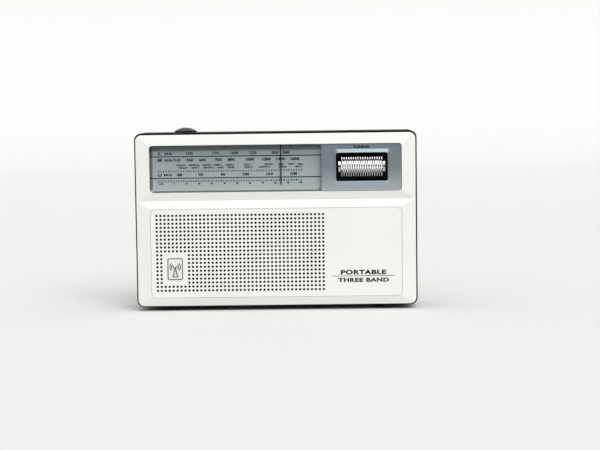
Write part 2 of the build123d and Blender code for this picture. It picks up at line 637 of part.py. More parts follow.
with BuildPart() as rubber_feet:
    for x in (-foot_x, foot_x):
        for y in foot_rows:
            block(
                (x - foot_width / 2 + 0.05, x + foot_width / 2 - 0.05),
                (y - foot_length / 2 + 0.05, y + foot_length / 2 - 0.05),
                (0, case_bottom + foot_sink),
            )
    fillet(rubber_feet.faces().group_by(Axis.Z)[0].edges(), 0.6)
rubber_feet.part.label = "rubber_feet"
export_step(rubber_feet.part, "parts/rubber_feet.step")

with BuildPart() as battery_door:
    block(
        (door_x0 + door_gap, door_x1 - door_gap),
        (inner_back, back_y),
        (hinge_z, door_z1 - door_gap),
    )
    rod_x(hinge_barrel, (door_x0 + door_gap, door_x1 - door_gap), hinge_y, hinge_z)
    rod_x(hinge_pin, (door_x0 - hinge_pin_length, door_x1 + hinge_pin_length), hinge_y, hinge_z)
    for rib in range(3):
        rib_z = door_z1 - 8 - 2.4 * rib
        rib_x = (middle(door_x0, door_x1) - 10, middle(door_x0, door_x1) + 10)
        block(rib_x, (back_y - 0.6, back_y + 1), (rib_z - 0.6, rib_z + 0.6), mode=Mode.SUBTRACT)
battery_door.part.label = "battery_door"
export_step(battery_door.part, "parts/battery_door.step")

# ---- battery bay ------------------------------------------------------------------------------
with BuildPart() as battery_box:
    block(
        (bay_x0 - bay_wall, bay_x1 + bay_wall),
        (bay_front - bay_wall, inner_back - 2.5),
        (bay_z0 - bay_wall, bay_z1 + bay_wall),
    )
    for z in ((bay_z0 - bay_wall, bay_z0), (bay_z1, bay_z1 + bay_wall)):
        block((bay_x0 + 4, bay_x1 - 4), (inner_back - 3, inner_back), z)
    block((bay_x0, bay_x1), (bay_front, back_y), (bay_z0, bay_z1), mode=Mode.SUBTRACT)
    rib_z = middle(*cell_rows)
    block((bay_x0, bay_x1), (bay_front, bay_front + 8), (rib_z - 0.5, rib_z + 0.5))
battery_box.part.label = "battery_box"
export_step(battery_box.part, "parts/battery_box.step")

cell_x0 = bay_x0 + bay_spring
with BuildPart() as battery_cells:
    for row, z in enumerate(cell_rows):
        for place in (0, 1):
            x0 = cell_x0 + place * cell_length
            rod_x(cell_radius, (x0 + 1.5, x0 + cell_length - cell_gap), cell_y, z)
            rod_x(3.2, (x0 + cell_gap / 2, x0 + 2), cell_y, z)
battery_cells.part.label = "battery_cells"
export_step(battery_cells.part, "parts/battery_cells.step")

spring_radius, spring_wire = 5.5, 0.9
with BuildPart() as contact_springs:
    for z in cell_rows:
        for turn in range(3):
            turn_x = (bay_x0 + 0.5 + spring_wire * turn, bay_x0 + 0.5 + spring_wire * (turn + 1))
            turn_radius = spring_radius - 1.2 * turn
            rod_x(turn_radius, turn_x, cell_y, z)
        rod_x(spring_radius + 0.5, (bay_x0, bay_x0 + 0.5), cell_y, z)
        hollow = spring_radius - 3 * spring_wire
        rod_x(hollow, (bay_x0 + 0.5, bay_x0 + bay_spring), cell_y, z, mode=Mode.SUBTRACT)
contact_springs.part.label = "contact_springs"
export_step(contact_springs.part, "parts/contact_springs.step")

with BuildPart() as contact_plates:
    for z in cell_rows:
        block((bay_x1 - 0.5, bay_x1), (cell_y - 7, cell_y + 7), (z - 7, z + 7))
contact_plates.part.label = "contact_plates"
export_step(contact_plates.part, "parts/contact_plates.step")

# ---- top controls -------------------------------------------------------------------------------
pot_top = inner_top - 2.5
knob_z0 = case_top + knob_lift
with BuildPart() as volume_pot:
    rod_z(pot_radius, knob_x, knob_y, (pot_top - pot_height, pot_top))
    rod_z(bushing_radius, knob_x, knob_y, (pot_top, case_top))
    rod_z(pot_shaft + running_gap, knob_x, knob_y, (pot_top - 4, case_top + 1), mode=Mode.SUBTRACT)
volume_pot.part.label = "volume_pot"
export_step(volume_pot.part, "parts/volume_pot.step")

dome_rise = knob_height - knob_rim
dome_radius = (knob_radius**2 + dome_rise**2) / (2 * dome_rise)
dome_z = knob_z0 + knob_height - dome_radius
dot_reach = knob_radius - 2.4  # the index dot, from the middle of the knob
with BuildPart() as volume_knob:
    rod_z(knob_radius, knob_x, knob_y, (knob_z0, knob_z0 + knob_height))
    with Locations((knob_x, knob_y, dome_z)):
        Sphere(dome_radius, mode=Mode.INTERSECT)
    rod_z(knob_radius - 1.6, knob_x, knob_y, (knob_z0, knob_z0 + 0.6), mode=Mode.SUBTRACT)
    rod_z(pot_shaft, knob_x, knob_y, (pot_top - 3.6, knob_z0 + 2))
    with Locations((knob_x, knob_y + dot_reach, dome_z + (dome_radius**2 - dot_reach**2) ** 0.5)):
        Sphere(0.6, mode=Mode.SUBTRACT)
volume_knob.part.label = "volume_knob"
export_step(volume_knob.part, "parts/volume_knob.step")

with BuildPart() as band_slider:
    block((band_x - 6, band_x + 6), (band_y - 3.2, band_y + 3.2), (inner_top - 2.2, inner_top - 0.3))
    block(
        (band_x - nub_length / 2, band_x + nub_length / 2),
        (band_y - nub_width / 2, band_y + nub_width / 2),
        (inner_top - 1, case_top - 0.2),
    )
    for groove in (-1.5, 0, 1.5):
        groove_x = (band_x + groove - 0.3, band_x + groove + 0.3)
        block(groove_x, (band_y - 3, band_y + 3), (case_top - 0.7, case_top), mode=Mode.SUBTRACT)
    block((band_x - 1.5, band_x + 1.5), (band_y - 1, band_y + 1), (inner_top - 5, inner_top - 2))
band_slider.part.label = "band_slider"
export_step(band_slider.part, "parts/band_slider.step")

with BuildPart() as band_switch:
    switch_z = (inner_top - 10.7, inner_top - 2.7)
    block((band_x - 12, band_x + 12), (band_y - 4, band_y + 4), switch_z)
    way = 1.5 + band_step + 0.3
    slot = ((band_x - way, band_x + way), (band_y - 1.3, band_y + 1.3), (inner_top - 5.4, inner_top))
    block(*slot, mode=Mode.SUBTRACT)
band_switch.part.label = "band_switch"
export_step(band_switch.part, "parts/band_switch.step")

# ---- sockets ------------------------------------------------------------------------------------
jack_bore, jack_length = 1.8, 14.0
with BuildPart() as earphone_jack:
    rod_x(3.2, (left, inner_left + 0.5), jack_y, jack_z)
    block((inner_left, inner_left + 12), (jack_y - 4, jack_y + 4), (jack_z - 4, jack_z + 4))
    rod_x(jack_bore, (left - 1, left + jack_length), jack_y, jack_z, mode=Mode.SUBTRACT)
earphone_jack.part.label = "earphone_jack"
export_step(earphone_jack.part, "parts/earphone_jack.step")

with BuildPart() as dc_inlet:
    inlet_bore, inlet_depth = 2.75, 8.5
    rod_y(4.2, inlet_x, (inner_back - 7.5, back_y - 0.4), inlet_z)
    rod_y(inlet_bore, inlet_x, (back_y - inlet_depth, back_y), inlet_z, mode=Mode.SUBTRACT)
    rod_y(1.05, inlet_x, (back_y - inlet_depth - 0.5, back_y - 1.5), inlet_z)
dc_inlet.part.label = "dc_inlet"
export_step(dc_inlet.part, "parts/dc_inlet.step")

# ---- telescopic antenna -----------------------------------------------------------------------------
tube_wall, slide_gap = 0.35, 0.05
tube_radii = [3.0 - (tube_wall + slide_gap) * section for section in range(4)]
tube_start, tube_length, tube_stagger = mast_x + 5.0, 185.0, 2.0
ear_gap, ear_thickness = 1.6, 1.5
with BuildPart() as antenna_base:
    rod_z(4.5, mast_x, mast_y, (channel_z + 0.3, channel_z + 2.0))
    rod_z(2.5, mast_x, mast_y, (channel_z - wall - 1.6, channel_z + 1))
    for side in (-1, 1):
        ear_y = sorted((mast_y + side * ear_gap, mast_y + side * (ear_gap + ear_thickness)))
        rod_y(2.9, mast_x, ear_y, mast_z)
        block((mast_x - 2.9, mast_x + 2.9), ear_y, (channel_z + 1, mast_z))
    rod_y(1.0, mast_x, (mast_y - 4, mast_y + 4), mast_z, mode=Mode.SUBTRACT)
antenna_base.part.label = "antenna_base"
export_step(antenna_base.part, "parts/antenna_base.step")

with BuildPart() as antenna_retainer:
    rod_z(3.2, mast_x, mast_y, (channel_z - wall - 1.4, channel_z - wall - 0.3))
    rod_z(2.5, mast_x, mast_y, (channel_z - wall - 2, channel_z), mode=Mode.SUBTRACT)
antenna_retainer.part.label = "antenna_retainer"
export_step(antenna_retainer.part, "parts/antenna_retainer.step")

with BuildPart() as antenna_pin:
    rod_y(1.0, mast_x, (mast_y - ear_gap - ear_thickness, mast_y + ear_gap + ear_thickness), mast_z)
antenna_pin.part.label = "antenna_pin"
export_step(antenna_pin.part, "parts/antenna_pin.step")

with BuildPart() as antenna_knuckle:
    rod_y(2.6, mast_x, (mast_y - 1.5, mast_y + 1.5), mast_z)
    block((mast_x, tube_start), (mast_y - 1.5, mast_y + 1.5), (mast_z - 1.8, mast_z + 1.8))
    rod_x(tube_radii[0] - tube_wall, (tube_start - 0.4, tube_start + 3), mast_y, mast_z)
    rod_y(1.05, mast_x, (mast_y - 3, mast_y + 3), mast_z, mode=Mode.SUBTRACT)
antenna_knuckle.part.label = "antenna_knuckle"
export_step(antenna_knuckle.part, "parts/antenna_knuckle.step")

for section in range(3):
    outer = tube_radii[section]
    start = tube_start if section == 0 else tube_start + 3.5 + 0.4 * section
    end = tube_start + tube_length + tube_stagger * section
    with BuildPart() as tube:
        rod_x(outer, (start, end), mast_y, mast_z)
        rod_x(outer - tube_wall, (start - 1, end + 1), mast_y, mast_z, mode=Mode.SUBTRACT)
    tube.part.label = f"antenna_tube_{section + 1}"
    export_step(tube.part, f"parts/antenna_tube_{section + 1}.step")

with BuildPart() as antenna_rod:
    rod_end = tube_start + tube_length + 3 * tube_stagger
    rod_x(tube_radii[3], (tube_start + 4.7, rod_end), mast_y, mast_z)
antenna_rod.part.label = "antenna_rod"
export_step(antenna_rod.part, "parts/antenna_rod.step")

with BuildPart() as antenna_tip:
    rod_x(tube_radii[0], (rod_end, rod_end + 5), mast_y, mast_z)
    fillet(antenna_tip.faces().sort_by(Axis.X)[-1].edges(), 1.4)
antenna_tip.part.label = "antenna_tip"
export_step(antenna_tip.part, "parts/antenna_tip.step")

# ---- loudspeaker ----------------------------------------------------------------------------------------
rim_back = frame_back + rim_thickness
basket_back = frame_back + basket_depth
with BuildPart() as speaker_basket:
    with BuildSketch(Plane.XY):
        with BuildLine():
            Polyline(
                (speaker_throat - 1.2, frame_back),
                (speaker_radius, frame_back),
                (speaker_radius, rim_back),
                (speaker_throat, rim_back),
                (magnet_radius + 1.0, basket_back),
                (6.0, basket_back),
                (6.0, basket_back - 1.0),
                (magnet_radius, basket_back - 1.0),
                (speaker_throat - 1.2, rim_back),
                close=True,
            )
        make_face()
    revolve(axis=Axis.Y)
    for angle in range(0, 360, 60):
        with Locations(Location((0, 0, 0), (0, angle, 0))):
            with Locations((magnet_radius + 8.5, middle(rim_back, basket_back), 0)):
                Box(10.5, basket_depth, 13.0, mode=Mode.SUBTRACT)
speaker_basket.part = speaker_basket.part.moved(Location((speaker_x, 0, speaker_z)))
speaker_basket.part.label = "speaker_basket"
export_step(speaker_basket.part, "parts/speaker_basket.step")

with BuildPart() as speaker_magnet:
    magnet_back = basket_back + magnet_depth
    rod_y(magnet_radius, speaker_x, (basket_back, magnet_back), speaker_z)
    rod_y(magnet_radius - 2.5, speaker_x, (magnet_back, magnet_back + 1.5), speaker_z)
speaker_magnet.part.label = "speaker_magnet"
export_step(speaker_magnet.part, "parts/speaker_magnet.step")

cone_front, cone_mouth, cone_throat, cone_depth, cone_wall = frame_back + 1.6, 32.0, 9.0, 9.5, 0.5
roll_radius, roll_wall = 1.2, 0.4
surround_radius = cone_mouth + 0.8  # middle of the half roll
with BuildPart() as speaker_cone:
    with Locations(Location((speaker_x, middle(cone_front, cone_front + cone_depth), speaker_z), (90, 0, 0))):
        Cone(cone_throat, cone_mouth, cone_depth)
        Cone(cone_throat - cone_wall, cone_mouth - cone_wall, cone_depth, mode=Mode.SUBTRACT)
speaker_cone.part.label = "speaker_cone"
export_step(speaker_cone.part, "parts/speaker_cone.step")

with BuildPart() as speaker_surround:
    with Locations(Location((speaker_x, cone_front - 0.1, speaker_z), (90, 0, 0))):
        Torus(surround_radius, roll_radius)
        Torus(surround_radius, roll_radius - roll_wall, mode=Mode.SUBTRACT)
    rod_y(speaker_radius, speaker_x, (cone_front - 0.1, cone_front + 2), speaker_z, mode=Mode.SUBTRACT)
speaker_surround.part.label = "speaker_surround"
export_step(speaker_surround.part, "parts/speaker_surround.step")

with BuildPart() as dust_cap:
    with Locations((speaker_x, cone_front + 12.0, speaker_z)):
        Sphere(10.0)
    block(
        (speaker_x - 20, speaker_x + 20),
        (cone_front + 7.0, cone_front + 30),
        (speaker_z - 20, speaker_z + 20),
        mode=Mode.SUBTRACT,
    )
dust_cap.part.label = "dust_cap"
export_step(dust_cap.part, "parts/dust_cap.step")

with BuildPart() as speaker_clamps:
    for x, z in clamps:
        rod_y(screw_radius - 0.05, x, (frame_back - 1.5, rim_back + 1), z)
        rod_y(3.4, x, (rim_back, rim_back + 0.8), z)
        rod_y(screw_head, x, (rim_back + 0.8, rim_back + 2.0), z)
speaker_clamps.part.label = "speaker_clamps"
export_step(speaker_clamps.part, "parts/speaker_clamps.step")

# ---- circuit board and its components ---------------------------------------------------------------------
with BuildPart() as circuit_board:
    block((board_x0, board_x1), (board_y0, board_y1), (board_z0, board_z1))
    for x, z in board_posts:
        rod_y(screw_radius + 0.1, x, (board_y0 - 1, board_y1 + 1), z, mode=Mode.SUBTRACT)
circuit_board.part.label = "circuit_board"
export_step(circuit_board.part, "parts/circuit_board.step")

with BuildPart() as board_screws:
    for x, z in board_posts:
        rod_y(screw_radius - 0.05, x, (board_y0, board_y1 + 5), z)
        rod_y(screw_head, x, (board_y0 - screw_head_height, board_y0), z)
board_screws.part.label = "board_screws"
export_step(board_screws.part, "parts/board_screws.step")

parts_z = board_z1 - 18
with BuildPart() as if_cans:
    for place in range(3):
        x = drum_x + 22 + 14 * place
        block((x - 5, x + 5), (board_y0 - 12, board_y0), (parts_z - 9, parts_z + 1))
if_cans.part.label = "if_cans"
export_step(if_cans.part, "parts/if_cans.step")

with BuildPart() as electrolytics:
    for place in range(4):
        z = board_z0 + 22 + 13 * place
        rod_y(4.0, board_x0 + 7, (board_y0 - 13, board_y0), z)
electrolytics.part.label = "electrolytics"
export_step(electrolytics.part, "parts/electrolytics.step")

with BuildPart() as transistors:
    for place in range(5):
        x = board_x0 + 16 + 9 * place
        rod_y(2.3, x, (board_y0 - 5, board_y0), drum_z - 26)
transistors.part.label = "transistors"
export_step(transistors.part, "parts/transistors.step")

with BuildPart() as resistors:
    for place in range(8):
        z = board_z0 + 12 + 6.5 * place
        rod_x(1.1, (board_x0 + 18, board_x0 + 24.5), board_y0 - 1.2, z)
resistors.part.label = "resistors"
export_step(resistors.part, "parts/resistors.step")

with BuildPart() as audio_chip:
    block((board_x0 + 30, board_x0 + 50), (board_y0 - 3.5, board_y0 - 0.3), (board_z0 + 4, board_z0 + 11))
audio_chip.part.label = "audio_chip"
export_step(audio_chip.part, "parts/audio_chip.step")

# ---- ferrite aerial ---------------------------------------------------------------------------------------
ferrite_radius, ferrite_length = 5.0, 140.0
ferrite_x0, ferrite_y, ferrite_z = left + 61.8, 4.5, chassis_z1 - 7
ferrite_x1 = ferrite_x0 + ferrite_length
with BuildPart() as ferrite_rod:
    rod_x(ferrite_radius, (ferrite_x0, ferrite_x1), ferrite_y, ferrite_z)
ferrite_rod.part.label = "ferrite_rod"
export_step(ferrite_rod.part, "parts/ferrite_rod.step")

with BuildPart() as aerial_coils:
    for x in ((ferrite_x0 + 16, ferrite_x0 + 40), (ferrite_x1 - 38, ferrite_x1 - 16)):
        rod_x(ferrite_radius + 1.4, x, ferrite_y, ferrite_z)
        rod_x(ferrite_radius + 0.1, (x[0] - 1, x[1] + 1), ferrite_y, ferrite_z, mode=Mode.SUBTRACT)
aerial_coils.part.label = "aerial_coils"
export_step(aerial_coils.part, "parts/aerial_coils.step")

with BuildPart() as rod_holders:
    for x in (ferrite_x0 + 8, ferrite_x1 - 8):
        block((x - 2, x + 2), (chassis_back, ferrite_y), (ferrite_z - 3, ferrite_z + 3))
        rod_x(ferrite_radius + 1.8, (x - 2, x + 2), ferrite_y, ferrite_z)
        rod_x(ferrite_radius + 0.1, (x - 3, x + 3), ferrite_y, ferrite_z, mode=Mode.SUBTRACT)
rod_holders.part.label = "rod_holders"
export_step(rod_holders.part, "parts/rod_holders.step")
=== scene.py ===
from math import cos, pi, radians, sin, tau

import bmesh
import bpy
from mathutils import Matrix, Vector


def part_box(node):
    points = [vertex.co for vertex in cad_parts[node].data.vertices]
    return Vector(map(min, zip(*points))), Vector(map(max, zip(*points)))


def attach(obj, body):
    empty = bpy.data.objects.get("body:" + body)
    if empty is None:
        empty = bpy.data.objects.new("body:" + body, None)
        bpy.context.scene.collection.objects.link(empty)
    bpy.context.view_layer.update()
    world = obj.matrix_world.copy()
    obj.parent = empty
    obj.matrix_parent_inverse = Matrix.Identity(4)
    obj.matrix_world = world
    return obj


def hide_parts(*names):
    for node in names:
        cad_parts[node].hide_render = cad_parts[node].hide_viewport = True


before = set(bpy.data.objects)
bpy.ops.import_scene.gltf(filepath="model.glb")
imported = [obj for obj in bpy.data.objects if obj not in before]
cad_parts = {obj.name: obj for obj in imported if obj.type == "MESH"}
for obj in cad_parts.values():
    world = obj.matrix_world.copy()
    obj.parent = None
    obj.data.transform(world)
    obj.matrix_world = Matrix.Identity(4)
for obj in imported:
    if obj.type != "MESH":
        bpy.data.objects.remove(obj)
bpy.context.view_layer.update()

# ---- camera -----------------------------------------------------------------------
# A long lens stands about 1.2 m in front of the radio and a little above it,
# and looks slightly down.
camera_place = Vector((0.0339, -1.1762, 0.1581))
camera_tilt, camera_turn, camera_roll = radians(4.63), radians(0.79), radians(-0.74)
camera_lens = 91.63

camera_data = bpy.data.cameras.new("camera")
camera_data.lens = camera_lens
camera_data.sensor_width = 36.0
camera_data.clip_start = 0.01
camera = bpy.data.objects.new("camera", camera_data)
bpy.context.scene.collection.objects.link(camera)
camera.matrix_world = (
    Matrix.Translation(camera_place)
    @ Matrix.Rotation(camera_turn, 4, "Z")
    @ Matrix.Rotation(pi / 2 - camera_tilt, 4, "X")
    @ Matrix.Rotation(camera_roll, 4, "Z")
)
bpy.context.scene.camera = camera

# ---- studio -----------------------------------------------------------------------
# A seamless pale paper sweep: the floor runs back and curves up into a wall. One very large
# soft light stands in front, above and a little to the right, and the white room fills the
# rest. A black card behind the camera is what the bright metal mirrors at its middle; nothing
# else sees it.
sweep_front, sweep_back, sweep_half, sweep_curve = -3.0, 2.4, 3.5, 0.9
paper_white = (0.805, 0.808, 0.798)
key_side, key_height, key_softness, key_strength = radians(20), radians(45), radians(46), 1.68
room_levels = ((0.0, 0.34), (0.30, 0.66), (1.0, 0.78))
room_tint = (0.997, 1.0, 0.998)
card_y, card_half, card_top = -1.35, 0.42, 0.36


def new_object(name, bm):
    """Object made of a bmesh, which is used up."""
    mesh = bpy.data.meshes.new(name)
    bm.to_mesh(mesh)
    bm.free()
    made = bpy.data.objects.new(name, mesh)
    bpy.context.scene.collection.objects.link(made)
    return made


def new_material(name, **values):
    """Material with its nodes, links and shader, and the socket that says where a point lies."""
    material = bpy.data.materials.new(name)
    material.use_nodes = True
    nodes, links = material.node_tree.nodes, material.node_tree.links
    shader = nodes["Principled BSDF"]
    set_inputs(shader, **values)
    return material, nodes, links, shader, nodes.new("ShaderNodeTexCoord").outputs["Object"]


def set_inputs(node, **values):
    """Sets a node's inputs: the names are theirs, with underlines for the spaces."""
    for name, value in values.items():
        node.inputs[name.replace("_", " ")].default_value = value


def fed(source, kind, entry, **values):
    """Node of this kind whose entry is fed by the source socket."""
    tree = source.id_data
    node = tree.nodes.new("ShaderNode" + kind)
    set_inputs(node, **values)
    tree.links.new(source, node.inputs[entry])
    return node


def noise(place, scale, detail=2.0):
    """Soft noise over the piece, from 0 to 1."""
    return fed(place, "TexNoise", "Vector", Scale=scale, Detail=detail).outputs["Fac"]


def between(value, low, high):
    """Takes a value from 0 to 1 into a narrower range."""
    return fed(value, "MapRange", "Value", To_Min=low, To_Max=high).outputs["Result"]


def relief(height, shader, distance, strength=1.0):
    """Lets a height of this distance show in the shader's normal."""
    bump = fed(height, "Bump", "Height", Distance=distance, Strength=strength)
    height.id_data.links.new(bump.outputs["Normal"], shader.inputs["Normal"])
    return bump


bm = bmesh.new()
near = bm.verts.new((-sweep_half, sweep_front, 0))
far = bm.verts.new((-sweep_half, sweep_back, 0))
bm.edges.new((near, far))
bmesh.ops.spin(
    bm,
    geom=[far],
    cent=(-sweep_half, sweep_back, sweep_curve),
    axis=(1, 0, 0),
    angle=pi / 2,
    steps=24,
)
bmesh.ops.remove_doubles(bm, verts=bm.verts, dist=1e-5)
made = bmesh.ops.extrude_edge_only(bm, edges=bm.edges[:])
bmesh.ops.translate(
    bm,
    verts=[v for v in made["geom"] if isinstance(v, bmesh.types.BMVert)],
    vec=(2 * sweep_half, 0, 0),
)
bmesh.ops.recalc_face_normals(bm, faces=bm.faces)
for face in bm.faces:
    face.smooth = True
sweep = new_object("paper_sweep", bm)
paper, nodes, links, shader, place = new_material(
    "studio_paper", Base_Color=(*paper_white, 1), Roughness=0.8, Specular_IOR_Level=0.1
)
relief(noise(place, 900.0), shader, 0.0002, 0.05)
sweep.data.materials.append(paper)

bm = bmesh.new()
corners = ((-card_half, 0.001), (card_half, 0.001), (card_half, card_top), (-card_half, card_top))
bm.faces.new([bm.verts.new((x, card_y, z)) for x, z in corners])
card = new_object("black_card", bm)
felt, nodes, links, shader, place = new_material("black_felt", Roughness=1.0, Specular_IOR_Level=0.0)
links.new(between(noise(place, 400.0), 0.004, 0.012), shader.inputs["Base Color"])
card.data.materials.append(felt)
card.visible_camera = card.visible_shadow = card.visible_diffuse = False

key_data = bpy.data.lights.new("key_light", "SUN")
key_data.energy = key_strength
key_data.angle = key_softness
key_data.color = (1.0, 0.995, 0.985)
key = bpy.data.objects.new("key_light", key_data)
bpy.context.scene.collection.objects.link(key)
towards_key = Vector((sin(key_side) * cos(key_height), -cos(key_side) * cos(key_height), sin(key_height)))
key.matrix_world = towards_key.to_track_quat("Z", "Y").to_matrix().to_4x4()

world = bpy.data.worlds.new("white_room")
world.use_nodes = True
nodes, links = world.node_tree.nodes, world.node_tree.links
way = nodes.new("ShaderNodeTexCoord")
height = nodes.new("ShaderNodeSeparateXYZ")
levels = nodes.new("ShaderNodeValToRGB")


def set_stops(ramp, stops):
    """Gives a colour ramp its stops, each a place from 0 to 1 and a colour."""
    while len(ramp.elements) < len(stops):
        ramp.elements.new(0.5)
    for element, (at, colour) in zip(list(ramp.elements), stops):
        element.position = at
        element.color = (*colour, 1)


set_stops(levels.color_ramp, [(at, [level * c for c in room_tint]) for at, level in room_levels])
links.new(way.outputs["Generated"], height.inputs["Vector"])
links.new(height.outputs["Z"], levels.inputs["Fac"])
links.new(levels.outputs["Color"], nodes["Background"].inputs["Color"])
bpy.context.scene.world = world
bpy.context.scene.view_settings.view_transform = "Standard"

# ---- rear shell ---------------------------------------------------------------------
# A deep black moulding that carries everything else. Its edges are slightly rounded by the
# mould, and its skin has a fine leather grain.
shell_edge_radius = 0.00025
shell_black, shell_shade = (0.0125, 0.0120, 0.0128), (0.0085, 0.0080, 0.0088)
edge_angle, smooth_angle = radians(24), radians(32)


def softened(node, radius, where=lambda point: True, segments=2):
    """Copy of a CAD node whose sharp edges are rounded, where their middle lies in the place asked for."""
    bm = bmesh.new()
    bm.from_mesh(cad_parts[node].data)
    bmesh.ops.remove_doubles(bm, verts=bm.verts, dist=1e-6)
    bmesh.ops.dissolve_limit(bm, angle_limit=radians(0.8), verts=bm.verts, edges=bm.edges)
    edges = [
        edge
        for edge in bm.edges
        if edge.is_manifold
        and edge.calc_face_angle() > edge_angle
        and where((edge.verts[0].co + edge.verts[1].co) / 2)
    ]
    bmesh.ops.bevel(
        bm,
        geom=edges,
        offset=radius,
        offset_type="OFFSET",
        affect="EDGES",
        segments=segments,
        profile=0.5,
        material=-1,
        clamp_overlap=True,
    )
    for face in bm.faces:
        face.smooth = True
    for edge in bm.edges:
        edge.smooth = edge.is_manifold and edge.calc_face_angle() < smooth_angle
    made = new_object(node + "_moulding", bm)
    weighted = made.modifiers.new("flat faces stay flat", "WEIGHTED_NORMAL")
    weighted.keep_sharp = True
    return made


def shades(value, first, last, start=0.0, end=1.0):
    """Colour that goes from one shade to another with a value."""
    ramp = fed(value, "ValToRGB", "Fac")
    set_stops(ramp.color_ramp, ((start, first), (end, last)))
    return ramp.outputs["Color"]


def grained(
    name, colour, shade, roughness, grain, depth,
    cloud=25.0, metallic=0.0, specular=0.5, coat=0.0, stretch=(1, 1, 1),
):
    """Skin with a grain: its colour varies over wide clouds, and its gloss and height over the grain."""
    material, nodes, links, shader, place = new_material(
        name, Metallic=metallic, Specular_IOR_Level=specular, Coat_Weight=coat
    )
    fine = noise(fed(place, "Mapping", "Vector", Scale=stretch).outputs["Vector"], grain, 3.0)
    links.new(shades(noise(place, cloud, 6.0), shade, colour, 0.32, 0.62), shader.inputs["Base Color"])
    links.new(between(fine, roughness * 0.8, min(1.0, roughness * 1.2)), shader.inputs["Roughness"])
    relief(fine, shader, depth, 0.6)
    return material


def dress(material, *names):
    """The CAD nodes of these names take this material."""
    for name in names:
        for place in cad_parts[name].material_slots:
            place.material = material


def settle(piece, material, slot, body, *nodes):
    """A finished piece takes its material and its body, and stands for CAD nodes; the slot is not used."""
    piece.data.materials.append(material)
    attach(piece, body)
    if nodes:
        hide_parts(*nodes)


shell_low, shell_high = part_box("rear_shell")
black_moulding = grained("black_moulding", shell_black, shell_shade, 0.55, 1500.0, 0.00003, specular=0.10)
rear_shell = softened("rear_shell", shell_edge_radius)
settle(rear_shell, black_moulding, "black_plastic", "case", "rear_shell")

rubber, rubber_shade = (0.016, 0.016, 0.017), (0.010, 0.010, 0.010)
black_rubber = grained("black_rubber", rubber, rubber_shade, 0.8, 3000.0, 0.00003, specular=0.2)
dress(black_rubber, "rubber_feet")

# ---- case screws ----------------------------------------------------------------------
# Slotted cheese-head screws of zinc-plated steel, sunk in the back of the shell; the same
# steel holds the chassis and the board.


def metal(name, colour, roughness, streak="", grain=300.0, depth=0.000004, blotch=0.10):
    """Bare metal with a little uneven tarnish, and fine streaks along X if it was drawn or ground."""
    shade = tuple(c * (1 - blotch) for c in colour)
    stretch = (0.06, 1, 1) if streak == "x" else (1, 1, 1)
    skin = dict(cloud=60.0, metallic=1.0, stretch=stretch)
    return grained(name, colour, shade, roughness, grain * 10, depth, **skin)


zinc_steel = metal("zinc_steel", (0.62, 0.62, 0.60), 0.30)
dress(zinc_steel, "case_screws", "chassis_screws", "board_screws", "pointer_rail", "idler_posts")
blackened_steel = metal("blackened_steel", (0.045, 0.043, 0.045), 0.45, "x")
dress(blackened_steel, "tuning_shaft")

# ---- front frame --------------------------------------------------------------------
# One white moulding: two mitred picture frames, round the dial window and round the grille,
# that meet in a valley. Its edges have a small radius and its skin a fine satin grain.
frame_edge_radius = 0.00055
frame_white, frame_shade = (0.820, 0.820, 0.795), (0.800, 0.796, 0.762)

rim_y = shell_low.y
white_moulding = grained("white_moulding", frame_white, frame_shade, 0.36, 4200.0, 0.000012)
front_frame = softened("front_frame", frame_edge_radius, lambda p: p.y < rim_y - 0.0004, segments=3)
settle(front_frame, white_moulding, "white_plastic", "case", "front_frame")

# ---- grille plate ---------------------------------------------------------------------
# A punched plate in white satin lacquer, set a hair's breadth below the frame. The lacquer
# rounds the edges of its holes, the walls of the holes are coloured near-black as painted
# shade inside the holes, and a plain sunken field is left for the badge.
hole_pitch, hole_radius, hole_edge = 0.003, 0.00095, 0.00004
hole_columns, hole_rows = 43, 20
badge_columns, badge_rows = (2, 7), (10, 17)
hole_sides_per_edge = 3
plate_corner, corner_steps = 0.0038, 7
field_width, field_height, field_corner, field_depth = 0.0145, 0.019, 0.0012, 0.0003

plate_low, plate_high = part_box("grille_panel")
badge_low, badge_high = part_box("badge_plate")
badge_middle = (badge_low + badge_high) / 2
grid_x = badge_middle.x + ((hole_columns - 1) / 2 - sum(badge_columns) / 2) * hole_pitch
grid_z = badge_middle.z + (sum(badge_rows) / 2 - (hole_rows - 1) / 2) * hole_pitch


def facing_front(bm, verts, width, height, x, y, z):
    """Turns a one-metre grid to the front, and gives it its size and place."""
    bmesh.ops.scale(bm, verts=verts, vec=(width, height, 1))
    bmesh.ops.rotate(bm, verts=verts, cent=(0, 0, 0), matrix=Matrix.Rotation(pi / 2, 3, "X"))
    bmesh.ops.translate(bm, verts=verts, vec=(x, y, z))


def rounded_sheet(bm, width, height, x, y, z, corner, steps=6):
    """Flat sheet that faces the front, with rounded corners; returns its face."""
    sheet = bmesh.ops.create_grid(bm, x_segments=1, y_segments=1, size=0.5)["verts"]
    facing_front(bm, sheet, width, height, x, y, z)
    rounded = bmesh.ops.bevel(
        bm, geom=sheet, offset=corner, affect="VERTICES", segments=steps, profile=0.5, material=-1
    )
    return max((face for v in rounded["verts"] for face in v.link_faces), key=lambda f: f.calc_area())


def cell_of(point):
    """Column and row of the hole grid at a point."""
    column = (point.x - grid_x) / hole_pitch + (hole_columns - 1) / 2
    row = (hole_rows - 1) / 2 - (point.z - grid_z) / hole_pitch
    return column, row


def in_field(point):
    """Whether a point lies in the badge's field."""
    column, row = cell_of(point)
    in_columns = badge_columns[0] - 0.5 < column < badge_columns[1] + 0.5
    return in_columns and badge_rows[0] - 0.5 < row < badge_rows[1] + 0.5


def in_grid(point):
    """Whether a point lies in the grid of holes."""
    column, row = cell_of(point)
    return -0.5 < column < hole_columns - 0.5 and -0.5 < row < hole_rows - 0.5


